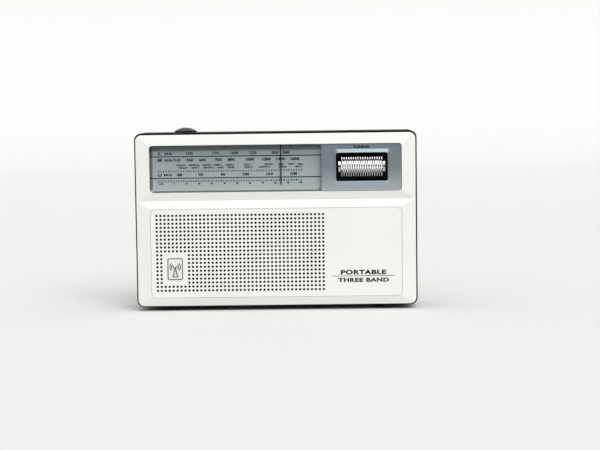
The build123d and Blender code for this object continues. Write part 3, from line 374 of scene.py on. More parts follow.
bm = bmesh.new()
cells = bmesh.ops.create_grid(bm, x_segments=hole_columns, y_segments=hole_rows, size=0.5)["verts"]
facing_front(bm, cells, hole_columns * hole_pitch, hole_rows * hole_pitch, grid_x, plate_low.y, grid_z)
bmesh.ops.bisect_edges(bm, edges=bm.edges[:], cuts=hole_sides_per_edge - 1, edge_percents={})
punched = [f for f in bm.faces if not in_field(f.calc_center_median())]
bmesh.ops.delete(bm, geom=[f for f in bm.faces if in_field(f.calc_center_median())], context="FACES")
bmesh.ops.inset_individual(bm, faces=punched, thickness=hole_pitch * 0.15, use_even_offset=False)
for face in punched:
    centre = face.calc_center_median()
    for corner in face.verts:
        corner.co = centre + (corner.co - centre).normalized() * (hole_radius + hole_edge)
bmesh.ops.inset_individual(bm, faces=punched, thickness=hole_edge, depth=-hole_edge, use_even_offset=True)
bmesh.ops.delete(bm, geom=punched, context="FACES_ONLY")
bmesh.ops.delete(bm, geom=[e for e in bm.edges if not e.link_faces], context="EDGES")
at_surface = [e for e in bm.edges if e.is_boundary and abs(e.verts[0].co.y - plate_low.y) < 1e-7]
outer_rim, field_rim = [], []
for edge in at_surface:
    column, row = cell_of((edge.verts[0].co + edge.verts[1].co) / 2)
    inside = 0 < column < hole_columns - 1 and 0 < row < hole_rows - 1
    (field_rim if inside else outer_rim).append(edge)
plate_outline = rounded_sheet(
    bm,
    plate_high.x - plate_low.x,
    plate_high.z - plate_low.z,
    (plate_low.x + plate_high.x) / 2,
    plate_low.y,
    (plate_low.z + plate_high.z) / 2,
    plate_corner,
    corner_steps,
)
field_outline = rounded_sheet(
    bm, field_width, field_height, badge_middle.x, plate_low.y, badge_middle.z, field_corner
)
outline_edges, field_edges = list(plate_outline.edges), list(field_outline.edges)
bmesh.ops.delete(bm, geom=[plate_outline, field_outline], context="FACES_ONLY")
bmesh.ops.triangle_fill(bm, use_beauty=True, edges=outer_rim + outline_edges)
bmesh.ops.triangle_fill(bm, use_beauty=True, edges=field_rim + field_edges)
bmesh.ops.recalc_face_normals(bm, faces=bm.faces)
if sum(f.normal.y * f.calc_area() for f in bm.faces) > 0:
    bmesh.ops.reverse_faces(bm, faces=bm.faces)
bmesh.ops.solidify(bm, geom=bm.faces[:], thickness=plate_high.y - plate_low.y)
for v in bm.verts:
    v.co.y = min(v.co.y, plate_high.y)
floor_y = plate_low.y + field_depth
floor = rounded_sheet(bm, field_width, field_height, badge_middle.x, floor_y, badge_middle.z, field_corner)
raised = bmesh.ops.extrude_face_region(bm, geom=[floor])["geom"]
for v in raised:
    if isinstance(v, bmesh.types.BMVert):
        v.co.y = plate_high.y
bmesh.ops.contextual_create(bm, geom=[e for e in bm.edges if e.is_boundary])
bmesh.ops.recalc_face_normals(bm, faces=bm.faces)
# The walls of the holes take the second material, near-black: painted shade inside the holes.
for face in bm.faces:
    middle = face.calc_center_median()
    in_hole = in_grid(middle) and not in_field(middle) and abs(face.normal.y) < 0.35
    face.material_index = 1 if in_hole else 0
grille = new_object("grille_plate", bm)
lacquer = grained("white_lacquer", (0.820, 0.820, 0.800), (0.800, 0.798, 0.770), 0.42, 2600.0, 0.000010)
settle(grille, lacquer, "panel_paint", "case", "grille_panel")
# Near-black colour of the hole walls: painted shade, not a colour the plate has.
wall_colour, wall_shade = (0.03, 0.03, 0.03), (0.02, 0.02, 0.02)
hole_shade_black = grained("painted_hole_shade", wall_colour, wall_shade, 0.7, 3000.0, 0.00001, specular=0.2)
grille.data.materials.append(hole_shade_black)

# ---- grille cloth -----------------------------------------------------------------------
# Black acetate cloth glued behind the holes, woven in plain weave.
thread_pitch = 0.0004
wave_width_at_one = 0.314  # width of one band of a wave texture whose scale is 1


def bands(place, scale, direction, rings=False, **values):
    """Soft bands along an axis, or rings round it."""
    wave = fed(place, "TexWave", "Vector", Scale=scale, **values)
    if rings:
        wave.wave_type, wave.rings_direction = "RINGS", direction
    else:
        wave.bands_direction = direction
    return wave.outputs["Fac"]


def woven(name, colour, shade, pitch):
    """Plain weave of threads along X and Z, for a cloth that faces the front."""
    material, nodes, links, shader, place = new_material(name, Roughness=0.9, Specular_IOR_Level=0.1)
    warp, weft = (
        bands(place, wave_width_at_one / pitch, direction, Distortion=0.6, Detail_Scale=2.0)
        for direction in ("X", "Z")
    )
    crossing = fed(warp, "Math", 0)
    crossing.operation = "MULTIPLY"
    links.new(weft, crossing.inputs[1])
    links.new(shades(crossing.outputs["Value"], shade, colour), shader.inputs["Base Color"])
    relief(crossing.outputs["Value"], shader, pitch / 4)
    return material


dress(woven("black_cloth", (0.012, 0.012, 0.012), (0.004, 0.004, 0.004), thread_pitch), "grille_cloth")

# ---- badge --------------------------------------------------------------------------------
# A small plate of anodised aluminium, glued in its field. A dark outline and a plain
# broadcasting sign, a mast between its waves, are printed on it.
print_thickness = 0.00003
outline_margin, outline_width = 0.00025, 0.0006
mast_width, mast_height, mast_foot, mast_leg = 0.0034, 0.0072, 0.0050, 0.00065
wave_width, wave_radii, wave_rise = 0.00065, (0.0014, 0.0027, 0.0040), 0.0016
wave_half_angle, wave_steps = radians(42), 10
ink_colour, ink_shade = (0.012, 0.012, 0.018), (0.008, 0.008, 0.012)

ink = grained("print_ink", ink_colour, ink_shade, 0.5, 3000.0, 0.000002, specular=0.3)


def bar(bm, x, z, y):
    """Printed bar between two limits on X and on Z, which faces the front at depth y."""
    sheet = bmesh.ops.create_grid(bm, x_segments=1, y_segments=1, size=0.5)["verts"]
    facing_front(bm, sheet, x[1] - x[0], z[1] - z[0], (x[0] + x[1]) / 2, y, (z[0] + z[1]) / 2)
    return sheet


def printed_frame(bm, width, height, x, y, z, corner, line):
    """Printed outline of a rounded rectangle, of this line width."""
    outline = rounded_sheet(bm, width, height, x, y, z, corner)
    bmesh.ops.inset_individual(bm, faces=[outline], thickness=line, use_even_offset=True)
    bmesh.ops.delete(bm, geom=[outline], context="FACES_ONLY")


def printed(name, bm, outward=-1):
    """Print made of flat faces: the ink gets its thickness outwards, which is -Y for the front."""
    bm.normal_update()
    for face in bm.faces:
        if face.normal.y * outward < 0:
            face.normal_flip()
    bm.normal_update()
    bmesh.ops.solidify(bm, geom=bm.faces[:], thickness=print_thickness)
    bmesh.ops.translate(bm, verts=bm.verts, vec=(0, outward * print_thickness, 0))
    settle(new_object(name, bm), ink, "dial_print", "case")


bm = bmesh.new()
printed_frame(
    bm,
    badge_high.x - badge_low.x - 2 * outline_margin,
    badge_high.z - badge_low.z - 2 * outline_margin,
    badge_middle.x,
    badge_low.y,
    badge_middle.z,
    field_corner,
    outline_width,
)
wave_z = badge_middle.z + wave_rise
for side in (-1, 1):
    for radius in wave_radii:
        ends = [
            bm.verts.new((badge_middle.x + side * (radius + half), badge_low.y, wave_z))
            for half in (-wave_width / 2, wave_width / 2)
        ]
        stroke = bm.edges.new(ends)
        centre = (badge_middle.x, badge_low.y, wave_z)
        bmesh.ops.rotate(bm, verts=ends, cent=centre, matrix=Matrix.Rotation(-wave_half_angle, 3, "Y"))
        bmesh.ops.spin(
            bm, geom=[*ends, stroke], cent=centre, axis=(0, 1, 0), angle=2 * wave_half_angle, steps=wave_steps
        )
for lean in (-1, 1):
    leg = bar(bm, (-mast_leg / 2, mast_leg / 2), (-mast_height, 0), badge_low.y)
    bmesh.ops.rotate(
        bm,
        verts=leg,
        cent=(0, badge_low.y, 0),
        matrix=Matrix.Rotation(lean * mast_width / 2 / mast_height, 3, "Y"),
    )
    bmesh.ops.translate(bm, verts=leg, vec=(badge_middle.x, 0, wave_z))
for rung in (0.45, 0.75):
    half, rung_z = mast_width / 2 * rung, wave_z - mast_height * rung
    rung_x = (badge_middle.x - half, badge_middle.x + half)
    bar(bm, rung_x, (rung_z - mast_leg / 3, rung_z + mast_leg / 3), badge_low.y)
foot_x = (badge_middle.x - mast_foot / 2, badge_middle.x + mast_foot / 2)
bar(bm, foot_x, (wave_z - mast_height - mast_leg, wave_z - mast_height), badge_low.y)
printed("badge_print", bm)
silver, silver_shade = (0.84, 0.84, 0.83), (0.80, 0.80, 0.79)
brushed = dict(metallic=0.25, stretch=(0.1, 1, 1))
dress(grained("silvered_enamel", silver, silver_shade, 0.34, 2600.0, 0.000004, **brushed), "badge_plate")

# ---- name print -----------------------------------------------------------------------------
# Two plain words and a rule, screen-printed in near-black on the blank end of the plate.
rule_x, rule_z, rule_width = (0.0422, 0.0892), 0.0258, 0.00045
name_print = (("PORTABLE", 0.0036, 0.0028, 0.0345), ("THREE BAND", 0.0032, -0.0031, 0.0385))


def lettering(bm, words, height, x, z, y, width=None, weight=0.0, spacing=1.0, stretch=1.0):
    """Adds words of this height round a middle; they face the front."""
    curve = bpy.data.curves.new("words", "FONT")
    curve.body = words
    curve.offset = weight
    curve.space_character = spacing
    curve.resolution_u = 4
    text = bpy.data.objects.new("words", curve)
    mesh = bpy.data.meshes.new_from_object(text)
    low = Vector([min(v.co[i] for v in mesh.vertices) for i in range(2)])
    high = Vector([max(v.co[i] for v in mesh.vertices) for i in range(2)])
    tall = height / (high.y - low.y)
    wide = width / (high.x - low.x) if width else tall * stretch
    middle = Vector(((low.x + high.x) / 2, (low.y + high.y) / 2, 0))
    mesh.transform(
        Matrix.Translation((x, y, z))
        @ Matrix.Rotation(pi / 2, 4, "X")
        @ Matrix.Diagonal((wide, tall, 1, 1))
        @ Matrix.Translation(-middle)
    )
    bm.from_mesh(mesh)
    bpy.data.objects.remove(text)
    bpy.data.curves.remove(curve)
    bpy.data.meshes.remove(mesh)


bm = bmesh.new()
name_x = (rule_x[0] + rule_x[1]) / 2
for words, tall, above, wide in name_print:
    lettering(bm, words, tall, name_x, rule_z + above, plate_low.y, wide, weight=0.05, spacing=1.1)
bar(bm, rule_x, (rule_z - rule_width / 2, rule_z + rule_width / 2), plate_low.y)
printed("name_print", bm)

# ---- dial scale --------------------------------------------------------------------------------
# A plate of lacquered aluminium behind the lens, grey-green. Painted shade darkens it towards
# its top, and a painted shadow of the window's top edge lies in a crisp strip along the top.
# Three wavebands, two rows of places and a logging scale are printed on it.
# scale_dark is the painted shade towards the top of the plate, scale_light its lower edge.
scale_dark, scale_light = (0.300, 0.345, 0.348), (0.43, 0.465, 0.470)
# Above this height the plate is multiplied by this tint: a painted shadow of the window's top edge.
shadow_strip_z, painted_shadow_tint = 0.1217, (0.52, 0.53, 0.55)
line_width, tick_width, tick_pitch = 0.00075, 0.00072, 0.0019
line_x = (-0.0950, 0.0345)
upper_line_z, lower_line_z = 0.1175, 0.1012
wavebands = (
    (0.1199, 0.0021, 0.04, (("kHz", -80.8), ("150", -65.0), ("175", -45.3), ("200", -30.9), ("225", -16.8))),
    (0.1199, 0.0021, 0.06, (("250", -0.4), ("260", 8.1))),
    (0.1149, 0.0021, 0.05, (("kHz", -80.8), ("510", -74.5), ("550", -64.7), ("600", -55.3), ("700", -43.1))),
    (0.1149, 0.0021, 0.06, (("800", -33.4), ("1000", -19.2), ("1200", -6.7), ("1400", 4.0), ("1600", 14.9))),
    (0.1037, 0.0019, 0.04, (("MHz", -81.4),)),
    (0.1037, 0.0022, 0.05, (("88", -72.7), ("92", -56.6), ("96", -39.8), ("100", -22.5), ("104", -4.5))),
    (0.1037, 0.0022, 0.05, (("108", 13.8),)),
)
regions = (
    (0.1109, (("NORTH", -71.5), ("CENTRAL", -61.6), ("COAST", -52.0), ("WEST 1", -43.8), ("WEST 2", -34.6))),
    (0.1109, (("EAST 1", -21.0), ("SOUTH", -5.0), ("ISLE", 4.2), ("CITY", 12.0), ("HILL", 19.0))),
    (0.1090, (("VALLEY", -70.0), ("EAST 3", -60.5), ("SOUTH 2", -50.5), ("LAKE", -41.6), ("RIVER", -33.6))),
    (0.1090, (("WEST 3", -20.5), ("NORTH 2", -8.5), ("LOCAL", 5.5), ("BAY 1", 17.5))),
)
ticks, first_tick_x, tick_reach, tall_reach = 58, -0.0887, 0.0013, 0.0017
upper_tick_z, lower_tick_z = 0.1057, 0.0981
log_zero_x, log_step, log_z = -0.0772, 0.00962, 0.09695

scale_low, scale_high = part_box("dial_scale")
print_y = scale_low.y
bm = bmesh.new()
for line_z in (upper_line_z, lower_line_z):
    bar(bm, line_x, (line_z - line_width / 2, line_z + line_width / 2), print_y)
for name, name_z, weight in (("L", 0.1199, 0.06), ("M", 0.1149, 0.08), ("U", 0.1037, 0.06)):
    lettering(bm, name, 0.0025, -0.0876, name_z, print_y, weight=weight, stretch=1.3)
for row_z, size, weight, marks in wavebands:
    for mark, mark_x in marks:
        lettering(bm, mark, size, mark_x / 1000, row_z, print_y, weight=weight, stretch=1.35)
for row_z, marks in regions:
    for mark, mark_x in marks:
        lettering(bm, mark, 0.0014, mark_x / 1000, row_z, print_y, weight=0.06, stretch=1.15)
for tick in range(ticks):
    tick_x = first_tick_x + tick * tick_pitch
    lower_reach = tick_reach if tick % 5 else tall_reach
    for foot_z, reach in ((upper_tick_z, tick_reach), (lower_tick_z, lower_reach)):
        bar(bm, (tick_x - tick_width / 2, tick_x + tick_width / 2), (foot_z, foot_z + reach), print_y)
lettering(bm, "LOG", 0.0014, -0.0868, log_z, print_y, weight=0.06)
for ten in range(11):
    lettering(bm, str(10 * ten), 0.0014, log_zero_x + ten * log_step, log_z, print_y, weight=0.07)
printed("dial_print", bm)


def along(place, axis, low, high, clamp=True):
    """How far a point is from one place to another along an axis, from 0 to 1."""
    spread = fed(place, "SeparateXYZ", "Vector")
    share = fed(spread.outputs[axis], "MapRange", "Value", From_Min=low, From_Max=high)
    share.clamp = clamp
    return share.outputs["Result"]


scale_lacquer, nodes, links, shader, place = new_material("scale_lacquer", Metallic=0.15, Roughness=0.5)
# Painted shade: the colour darkens from the lower edge towards the top, with soft random clouds of tone.
rise = along(place, "Z", scale_low.z, scale_high.z)
drifted = fed(noise(place, 14.0), "Math", 0)
drifted.operation = "MULTIPLY_ADD"
drifted.inputs[1].default_value = 0.25
links.new(rise, drifted.inputs[2])
# Painted shadow: a crisp darker strip along the top, where the window's top edge shades the plate.
in_painted_shadow = fed(rise, "Math", 0)
in_painted_shadow.operation = "GREATER_THAN"
in_painted_shadow.inputs[1].default_value = (shadow_strip_z - scale_low.z) / (scale_high.z - scale_low.z)
shadow_blend = fed(in_painted_shadow.outputs["Value"], "Mix", "Factor")
shadow_blend.data_type, shadow_blend.blend_type = "RGBA", "MULTIPLY"
base, shadow_socket, lacquered = shadow_blend.inputs[6], shadow_blend.inputs[7], shadow_blend.outputs[2]
shadow_socket.default_value = (*painted_shadow_tint, 1)
links.new(shades(drifted.outputs["Value"], scale_light, scale_dark, 0.12, 0.95), base)
links.new(lacquered, shader.inputs["Base Color"])
relief(noise(place, 5000.0), shader, 0.000006, 0.4)
dress(scale_lacquer, "dial_scale")

# ---- dial lens --------------------------------------------------------------------------------
# A clear polystyrene tray whose face closes the window; its side walls carry the scale.
# The moulding is polished, with the faintest ripple.
lens_edge_radius = 0.0003
lens_tint = (0.93, 0.955, 0.95)

clear_lens, nodes, links, shader, place = new_material(
    "clear_lens", Base_Color=(*lens_tint, 1), Transmission_Weight=1.0, IOR=1.49
)
links.new(between(noise(place, 60.0), 0.0, 0.03), shader.inputs["Roughness"])
lens = softened("dial_lens", lens_edge_radius, lambda p: p.y < rim_y - 0.0004)
settle(lens, clear_lens, "clear_plastic", "case", "dial_lens")
lens.visible_shadow = False

# ---- tuning bezel ---------------------------------------------------------------------------
# A moulding in grey-blue metallic paint, with a raised surround that falls outwards. Painted
# light and shade make it lighter along its lower edge and darker from the middle of the
# roller's well upwards, and the well round the roller and every face set back more than
# 0.8 mm behind its face are coloured near-black as painted shade.
bezel_edge_radius = 0.0003
bezel_dark, bezel_light = (0.235, 0.285, 0.310), (0.47, 0.52, 0.55)
surround_height, well_margin = 0.0014, 0.0030
word_x, word_z = 0.0648, 0.1234

bezel_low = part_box("tuning_bezel")[0]
knob_low, knob_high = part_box("tuning_knob")
well_centre = (knob_low + knob_high) / 2
bezel_paint, nodes, links, shader, place = new_material("bezel_paint", Metallic=0.65, Roughness=0.36)
# Painted light and shade: lighter along the lower edge, darker from the middle of the well upwards.
rise = along(place, "Z", bezel_low.z + 0.002, well_centre.z)
links.new(shades(rise, bezel_light, bezel_dark), shader.inputs["Base Color"])
relief(fed(place, "TexVoronoi", "Vector", Scale=6000.0).outputs["Distance"], shader, 0.00001, 0.25)
bezel = softened("tuning_bezel", bezel_edge_radius, lambda p: p.y < rim_y)
settle(bezel, bezel_paint, "bezel_metallic", "case", "tuning_bezel")
# Near-black for the well and the faces set back behind the front: painted shade in the recesses.
well_colour, well_shade = (0.010, 0.010, 0.011), (0.006, 0.006, 0.006)
well_shade_black = grained("well_shade_black", well_colour, well_shade, 0.6, 2500.0, 0.00002, specular=0.2)
bezel.data.materials.append(well_shade_black)
well_half = (knob_high - knob_low) / 2 + Vector((well_margin, 0, well_margin))
# Faces of the well and faces set deep behind the front take the painted shade.
for face in bezel.data.polygons:
    away = face.center - well_centre
    in_well = abs(away.x) < well_half.x and abs(away.z) < well_half.z and abs(face.normal.y) < 0.5
    below_rim = face.center.y > bezel_low.y + 0.0003
    below_face = face.center.y > bezel_low.y + surround_height + 0.0008
    face.material_index = 1 if in_well and below_rim or below_face else 0

bm = bmesh.new()
lettering(bm, "TUNING", 0.0021, word_x, word_z, bezel_low.y + surround_height, width=0.0122, weight=0.06)
printed("tuning_print", bm)

# ---- tuning roller ------------------------------------------------------------------------------
# A chromed roller of eighteen thin discs on one core, with fine teeth round each disc for
# the thumb and a plain hub at each end; it is pressed on the steel shaft.
discs, disc_share, disc_groove, disc_edge = 18, 0.52, 0.0017, 0.00016
roller_width, hub_radius, hub_edge = 0.032, 0.0071, 0.0004
teeth, tooth_depth = 60, 0.00022
shaft_hole = 0.002

roller_radius = (knob_high.z - knob_low.z) / 2
hub_x = (knob_high.x - knob_low.x) / 2
core_radius = roller_radius - disc_groove
profile = [(-hub_x, shaft_hole), (-hub_x, hub_radius - hub_edge), (-hub_x + hub_edge, hub_radius)]
profile.append((-roller_width / 2, hub_radius))
pitch = roller_width / discs
for disc in range(discs):
    middle = -roller_width / 2 + (disc + 0.5) * pitch
    half = disc_share * pitch / 2
    profile += [
        (middle - half, core_radius),
        (middle - half, roller_radius - disc_edge),
        (middle - half + disc_edge, roller_radius),
        (middle + half - disc_edge, roller_radius),
        (middle + half, roller_radius - disc_edge),
        (middle + half, core_radius),
    ]
profile += [(-x, radius) for x, radius in reversed(profile[:4])]


def turned(bm, profile, steps, centre, axis):
    """Revolves a profile of (place along the axis, radius) round an axis through a centre."""
    along = Vector(axis)
    out = Vector((0, 0, 1)) if along.z == 0 else Vector((1, 0, 0))
    verts = [bm.verts.new(centre + along * at + out * radius) for at, radius in profile]
    edges = [bm.edges.new(pair) for pair in zip(verts, verts[1:])]
    bmesh.ops.spin(bm, geom=verts + edges, cent=centre, axis=along, angle=tau, steps=steps, use_merge=True)
    bmesh.ops.remove_doubles(bm, verts=bm.verts, dist=1e-7)
    bmesh.ops.recalc_face_normals(bm, faces=bm.faces)


def shade_smooth(bm, angle=smooth_angle):
    """Smooth shading, broken at edges sharper than the angle."""
    for face in bm.faces:
        face.smooth = True
    for edge in bm.edges:
        edge.smooth = edge.is_manifold and edge.calc_face_angle() < angle


bm = bmesh.new()
turned(bm, profile, 2 * teeth, well_centre, (1, 0, 0))
bmesh.ops.holes_fill(bm, edges=[e for e in bm.edges if e.is_boundary], sides=0)
for v in bm.verts:
    arm = Vector((0, v.co.y - well_centre.y, v.co.z - well_centre.z))
    step = round(arm.angle(Vector((0, 0, 1))) / (pi / teeth))
    if arm.length > roller_radius - disc_edge * 1.5 and step % 2:
        v.co -= arm.normalized() * tooth_depth
bmesh.ops.recalc_face_normals(bm, faces=bm.faces)
shade_smooth(bm, radians(20))
roller = new_object("tuning_roller", bm)
chrome = metal("chrome", (0.56, 0.555, 0.56), 0.17, blotch=0.06)
settle(roller, chrome, "chrome", "tuning", "tuning_knob")

# ---- dial drive -------------------------------------------------------------------------------
# A grey polystyrene chassis behind the dial carries the rail, the pointer on its carriage,
# three acetal idlers and the drum of the tuning capacitor; a waxed cord runs round them.
drive_edge_radius = 0.00025

grey_moulding = grained("grey_moulding", (0.20, 0.205, 0.21), (0.165, 0.17, 0.175), 0.5, 2200.0, 0.00002)
pale_acetal = grained("pale_acetal", (0.66, 0.65, 0.60), (0.60, 0.59, 0.54), 0.42, 2400.0, 0.00001)
enamel, enamel_shade = (0.010, 0.010, 0.012), (0.007, 0.007, 0.007)
pointer_enamel = grained("pointer_enamel", enamel, enamel_shade, 0.4, 3000.0, 0.000005)
foil, foil_shade = (0.52, 0.55, 0.58), (0.46, 0.49, 0.52)
capacitor_case = grained("capacitor_case", foil, foil_shade, 0.28, 900.0, 0.00001, coat=0.3)
for node, body, slot, material in (
    ("chassis", "case", "grey_plastic", grey_moulding),
    ("pointer_carriage", "pointer", "white_plastic", pale_acetal),
    ("capacitor_drum", "drum", "white_plastic", pale_acetal),
    ("tuning_capacitor", "case", "clear_plastic", capacitor_case),
):
    settle(softened(node, drive_edge_radius), material, slot, body, node)
dress(pale_acetal, "idler_upper_left", "idler_upper_right", "idler_lower_right")
dress(pointer_enamel, "dial_pointer")

waxed_cord, nodes, links, shader, place = new_material("waxed_cord", Roughness=0.7)
strands = bands(place, 900.0, "DIAGONAL")
links.new(shades(strands, (0.18, 0.16, 0.12), (0.42, 0.38, 0.30)), shader.inputs["Base Color"])
relief(strands, shader, 0.00005)
dress(waxed_cord, "dial_cord")

# ---- loudspeaker --------------------------------------------------------------------------------
# A pressed steel basket, a ferrite magnet under a zinc cover, and a black paper cone with
# its rolled surround and dust cap; four screws with washers clamp it to the frame.
cone_rib_scale = 150.0

speaker_low, speaker_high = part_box("speaker_cone")
cone_paper, nodes, links, shader, place = new_material("cone_paper", Roughness=0.85)
centred = fed(place, "Mapping", "Vector", Location=-(speaker_low + speaker_high) / 2).outputs["Vector"]
pulp = noise(place, 900.0, 5.0)
links.new(shades(pulp, (0.016, 0.015, 0.014), (0.045, 0.043, 0.040)), shader.inputs["Base Color"])
ribs = relief(bands(centred, cone_rib_scale, "Y", rings=True, Distortion=0.3), shader, 0.0002)
fibres = relief(pulp, shader, 0.00008)
links.new(ribs.outputs["Normal"], fibres.inputs["Normal"])
dress(cone_paper, "speaker_cone", "dust_cap")
dress(black_rubber, "speaker_surround")
pressed_steel = metal("pressed_steel", (0.56, 0.56, 0.55), 0.36, grain=120.0, depth=0.00001, blotch=0.2)
dress(pressed_steel, "speaker_basket", "speaker_clamps", "contact_plates", "if_cans")
dull_ferrite = grained("dull_ferrite", (0.035, 0.033, 0.032), (0.022, 0.021, 0.020), 0.65, 1200.0, 0.00006)
dress(dull_ferrite, "speaker_magnet", "ferrite_rod")

# ---- circuit board --------------------------------------------------------------------------------
# A brown phenolic board with its parts on the front: cans, capacitors, transistors,
# resistors and the audio chip.
board_edge_radius = 0.0003

phenolic, nodes, links, shader, place = new_material("phenolic_board", Roughness=0.5)
turned_up = fed(place, "Mapping", "Vector", Rotation=(pi / 2, 0, 0)).outputs["Vector"]
tracks = fed(turned_up, "TexBrick", "Vector", Scale=60.0)
set_inputs(tracks, Color1=(0.20, 0.105, 0.040, 1), Color2=(0.17, 0.090, 0.035, 1))
set_inputs(tracks, Mortar=(0.30, 0.19, 0.07, 1))
links.new(tracks.outputs["Color"], shader.inputs["Base Color"])
relief(noise(place, 1500.0), shader, 0.00003)
dress(phenolic, "circuit_board")


def banded(name, axis, start, length, stops, roughness, metallic=0.0):
    """Colour bands along an axis that repeat over a length; stops are (share of the length, colour)."""
    material, nodes, links, shader, place = new_material(name, Metallic=metallic)
    part = fed(along(place, axis, start, start + length, clamp=False), "Math", 0)
    part.operation = "FRACT"
    ramp = fed(part.outputs["Value"], "ValToRGB", "Fac")
    ramp.color_ramp.interpolation = "CONSTANT"
    set_stops(ramp.color_ramp, stops)
    links.new(ramp.outputs["Color"], shader.inputs["Base Color"])
    wear = noise(place, 700.0)
    links.new(between(wear, roughness * 0.8, roughness * 1.2), shader.inputs["Roughness"])
    relief(wear, shader, 0.00002, 0.4)
    return material


resistor_low, resistor_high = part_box("resistors")
beige, red, gold = (0.50, 0.36, 0.20), (0.40, 0.03, 0.02), (0.45, 0.30, 0.08)
dress(
    banded(
        "resistor_bands",
        "X",
        resistor_low.x,
        resistor_high.x - resistor_low.x,
        ((0.0, beige), (0.34, red), (0.42, beige), (0.52, red), (0.60, beige), (0.78, gold), (0.86, beige)),
        0.45,
    ),
    "resistors",
)
can_low, can_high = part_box("electrolytics")
dress(
    banded(
        "capacitor_sleeve",
        "Y",
        can_low.y,
        can_high.y - can_low.y,
        ((0.0, (0.45, 0.45, 0.45)), (0.9, (0.02, 0.05, 0.12))),
        0.35,
    ),
    "electrolytics",
)
epoxy_black = grained("epoxy_black", (0.018, 0.018, 0.019), (0.012, 0.012, 0.012), 0.5, 1800.0, 0.00003)
dress(epoxy_black, "transistors")
settle(softened("audio_chip", board_edge_radius), epoxy_black, "black_plastic", "case", "audio_chip")

# ---- ferrite aerial ---------------------------------------------------------------------------
# A ferrite rod in two polystyrene holders, with the long-wave and medium-wave coils wound
# on it in fine enamelled wire.
wire_pitch = 0.0005

enamelled, nodes, links, shader, place = new_material("enamelled_wire", Metallic=0.6, Roughness=0.35)
turns = bands(place, wave_width_at_one / wire_pitch, "X", Distortion=0.4)
links.new(shades(turns, (0.12, 0.045, 0.015), (0.50, 0.22, 0.08)), shader.inputs["Base Color"])
relief(turns, shader, wire_pitch / 4)
dress(enamelled, "aerial_coils")
settle(softened("rod_holders", board_edge_radius), pale_acetal, "white_plastic", "case", "rod_holders")

# ---- battery bay --------------------------------------------------------------------------------
# A black bay with four cells in two rows, coned springs at one end and steel plates at the
# other, closed by a door that swings on two moulded pins.
spring_turns, spring_steps, spring_wire = 3.5, 22, 0.0004
cell_length = 0.050

settle(softened("battery_box", drive_edge_radius), black_moulding, "black_plastic", "case", "battery_box")
cells_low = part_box("battery_cells")[0]
steel_end, label_dark, label_band = (0.55, 0.55, 0.54), (0.03, 0.05, 0.10), (0.50, 0.36, 0.10)
dress(
    banded(
        "cell_label",
        "X",
        cells_low.x,
        cell_length,
        ((0.0, steel_end), (0.26, label_dark), (0.90, label_band), (0.94, steel_end)),
        0.35,
        0.4,
    ),
    "battery_cells",
)

springs_low, springs_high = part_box("contact_springs")
spring_wide = (springs_high.y - springs_low.y) / 2 - spring_wire
spring_y = (springs_low.y + springs_high.y) / 2
spring_long = springs_high.x - springs_low.x - 2 * spring_wire
bm = bmesh.new()
for spring_z in (springs_low.z + spring_wide + spring_wire, springs_high.z - spring_wide - spring_wire):
    start = Vector((springs_low.x + spring_wire, spring_y, spring_z))
    loop = bmesh.ops.create_circle(bm, cap_ends=False, segments=8, radius=spring_wire)["verts"]
    bmesh.ops.rotate(bm, verts=loop, cent=(0, 0, 0), matrix=Matrix.Rotation(pi / 2, 3, "X"))
    bmesh.ops.translate(bm, verts=loop, vec=start + Vector((0, 0, spring_wide)))
    ring = list({edge for v in loop for edge in v.link_edges})
    steps = int(spring_turns * spring_steps)
    before = set(bm.verts) - set(loop)
    bmesh.ops.spin(
        bm,
        geom=loop + ring,
        cent=start,
        axis=(1, 0, 0),
        dvec=(spring_long / steps, 0, 0),
        angle=tau * spring_turns,
        steps=steps,
    )
    for v in set(bm.verts) - before:
        taper = 1 - 0.55 * (v.co.x - start.x) / spring_long
        v.co.y = start.y + (v.co.y - start.y) * taper
        v.co.z = start.z + (v.co.z - start.z) * taper
bmesh.ops.holes_fill(bm, edges=[e for e in bm.edges if e.is_boundary], sides=0)
bmesh.ops.recalc_face_normals(bm, faces=bm.faces)
shade_smooth(bm)
springs = new_object("coned_springs", bm)
settle(springs, zinc_steel, "steel", "case", "contact_springs")

door = softened("battery_door", shell_edge_radius)
settle(door, black_moulding, "black_plastic", "door", "battery_door")

# ---- rating label -------------------------------------------------------------------------------
# A thin aluminium plate glued in its bed above the battery door. A frame and the four cells,
# with their signs, are printed on it.
channel_height, door_gap = 0.0094, 0.0003
label_width, label_height, label_corner, label_thickness = 0.0574, 0.0234, 0.0012, 0.00018
bed_depth, label_line = 0.0003, 0.0004
drawn_cell, drawn_radius, drawn_nub, drawn_gap = 0.0185, 0.0031, 0.0009, 0.0028

door_low, door_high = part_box("battery_door")
label_x = (door_low.x + door_high.x) / 2
label_z = (door_high.z + door_gap + shell_high.z - channel_height) / 2
bed_y = shell_high.y - bed_depth
bm = bmesh.new()
rounded_sheet(bm, label_width, label_height, label_x, bed_y, label_z, label_corner)
bm.normal_update()
bmesh.ops.solidify(bm, geom=bm.faces[:], thickness=label_thickness)
deepest = max(v.co.y for v in bm.verts)
bmesh.ops.translate(bm, verts=bm.verts, vec=(0, bed_y + label_thickness - deepest, 0))
bmesh.ops.recalc_face_normals(bm, faces=bm.faces)
anodised = metal("anodised_silver", (0.80, 0.80, 0.785), 0.42, "x", blotch=0.05)
settle(new_object("rating_label", bm), anodised, "bezel_metallic", "case")

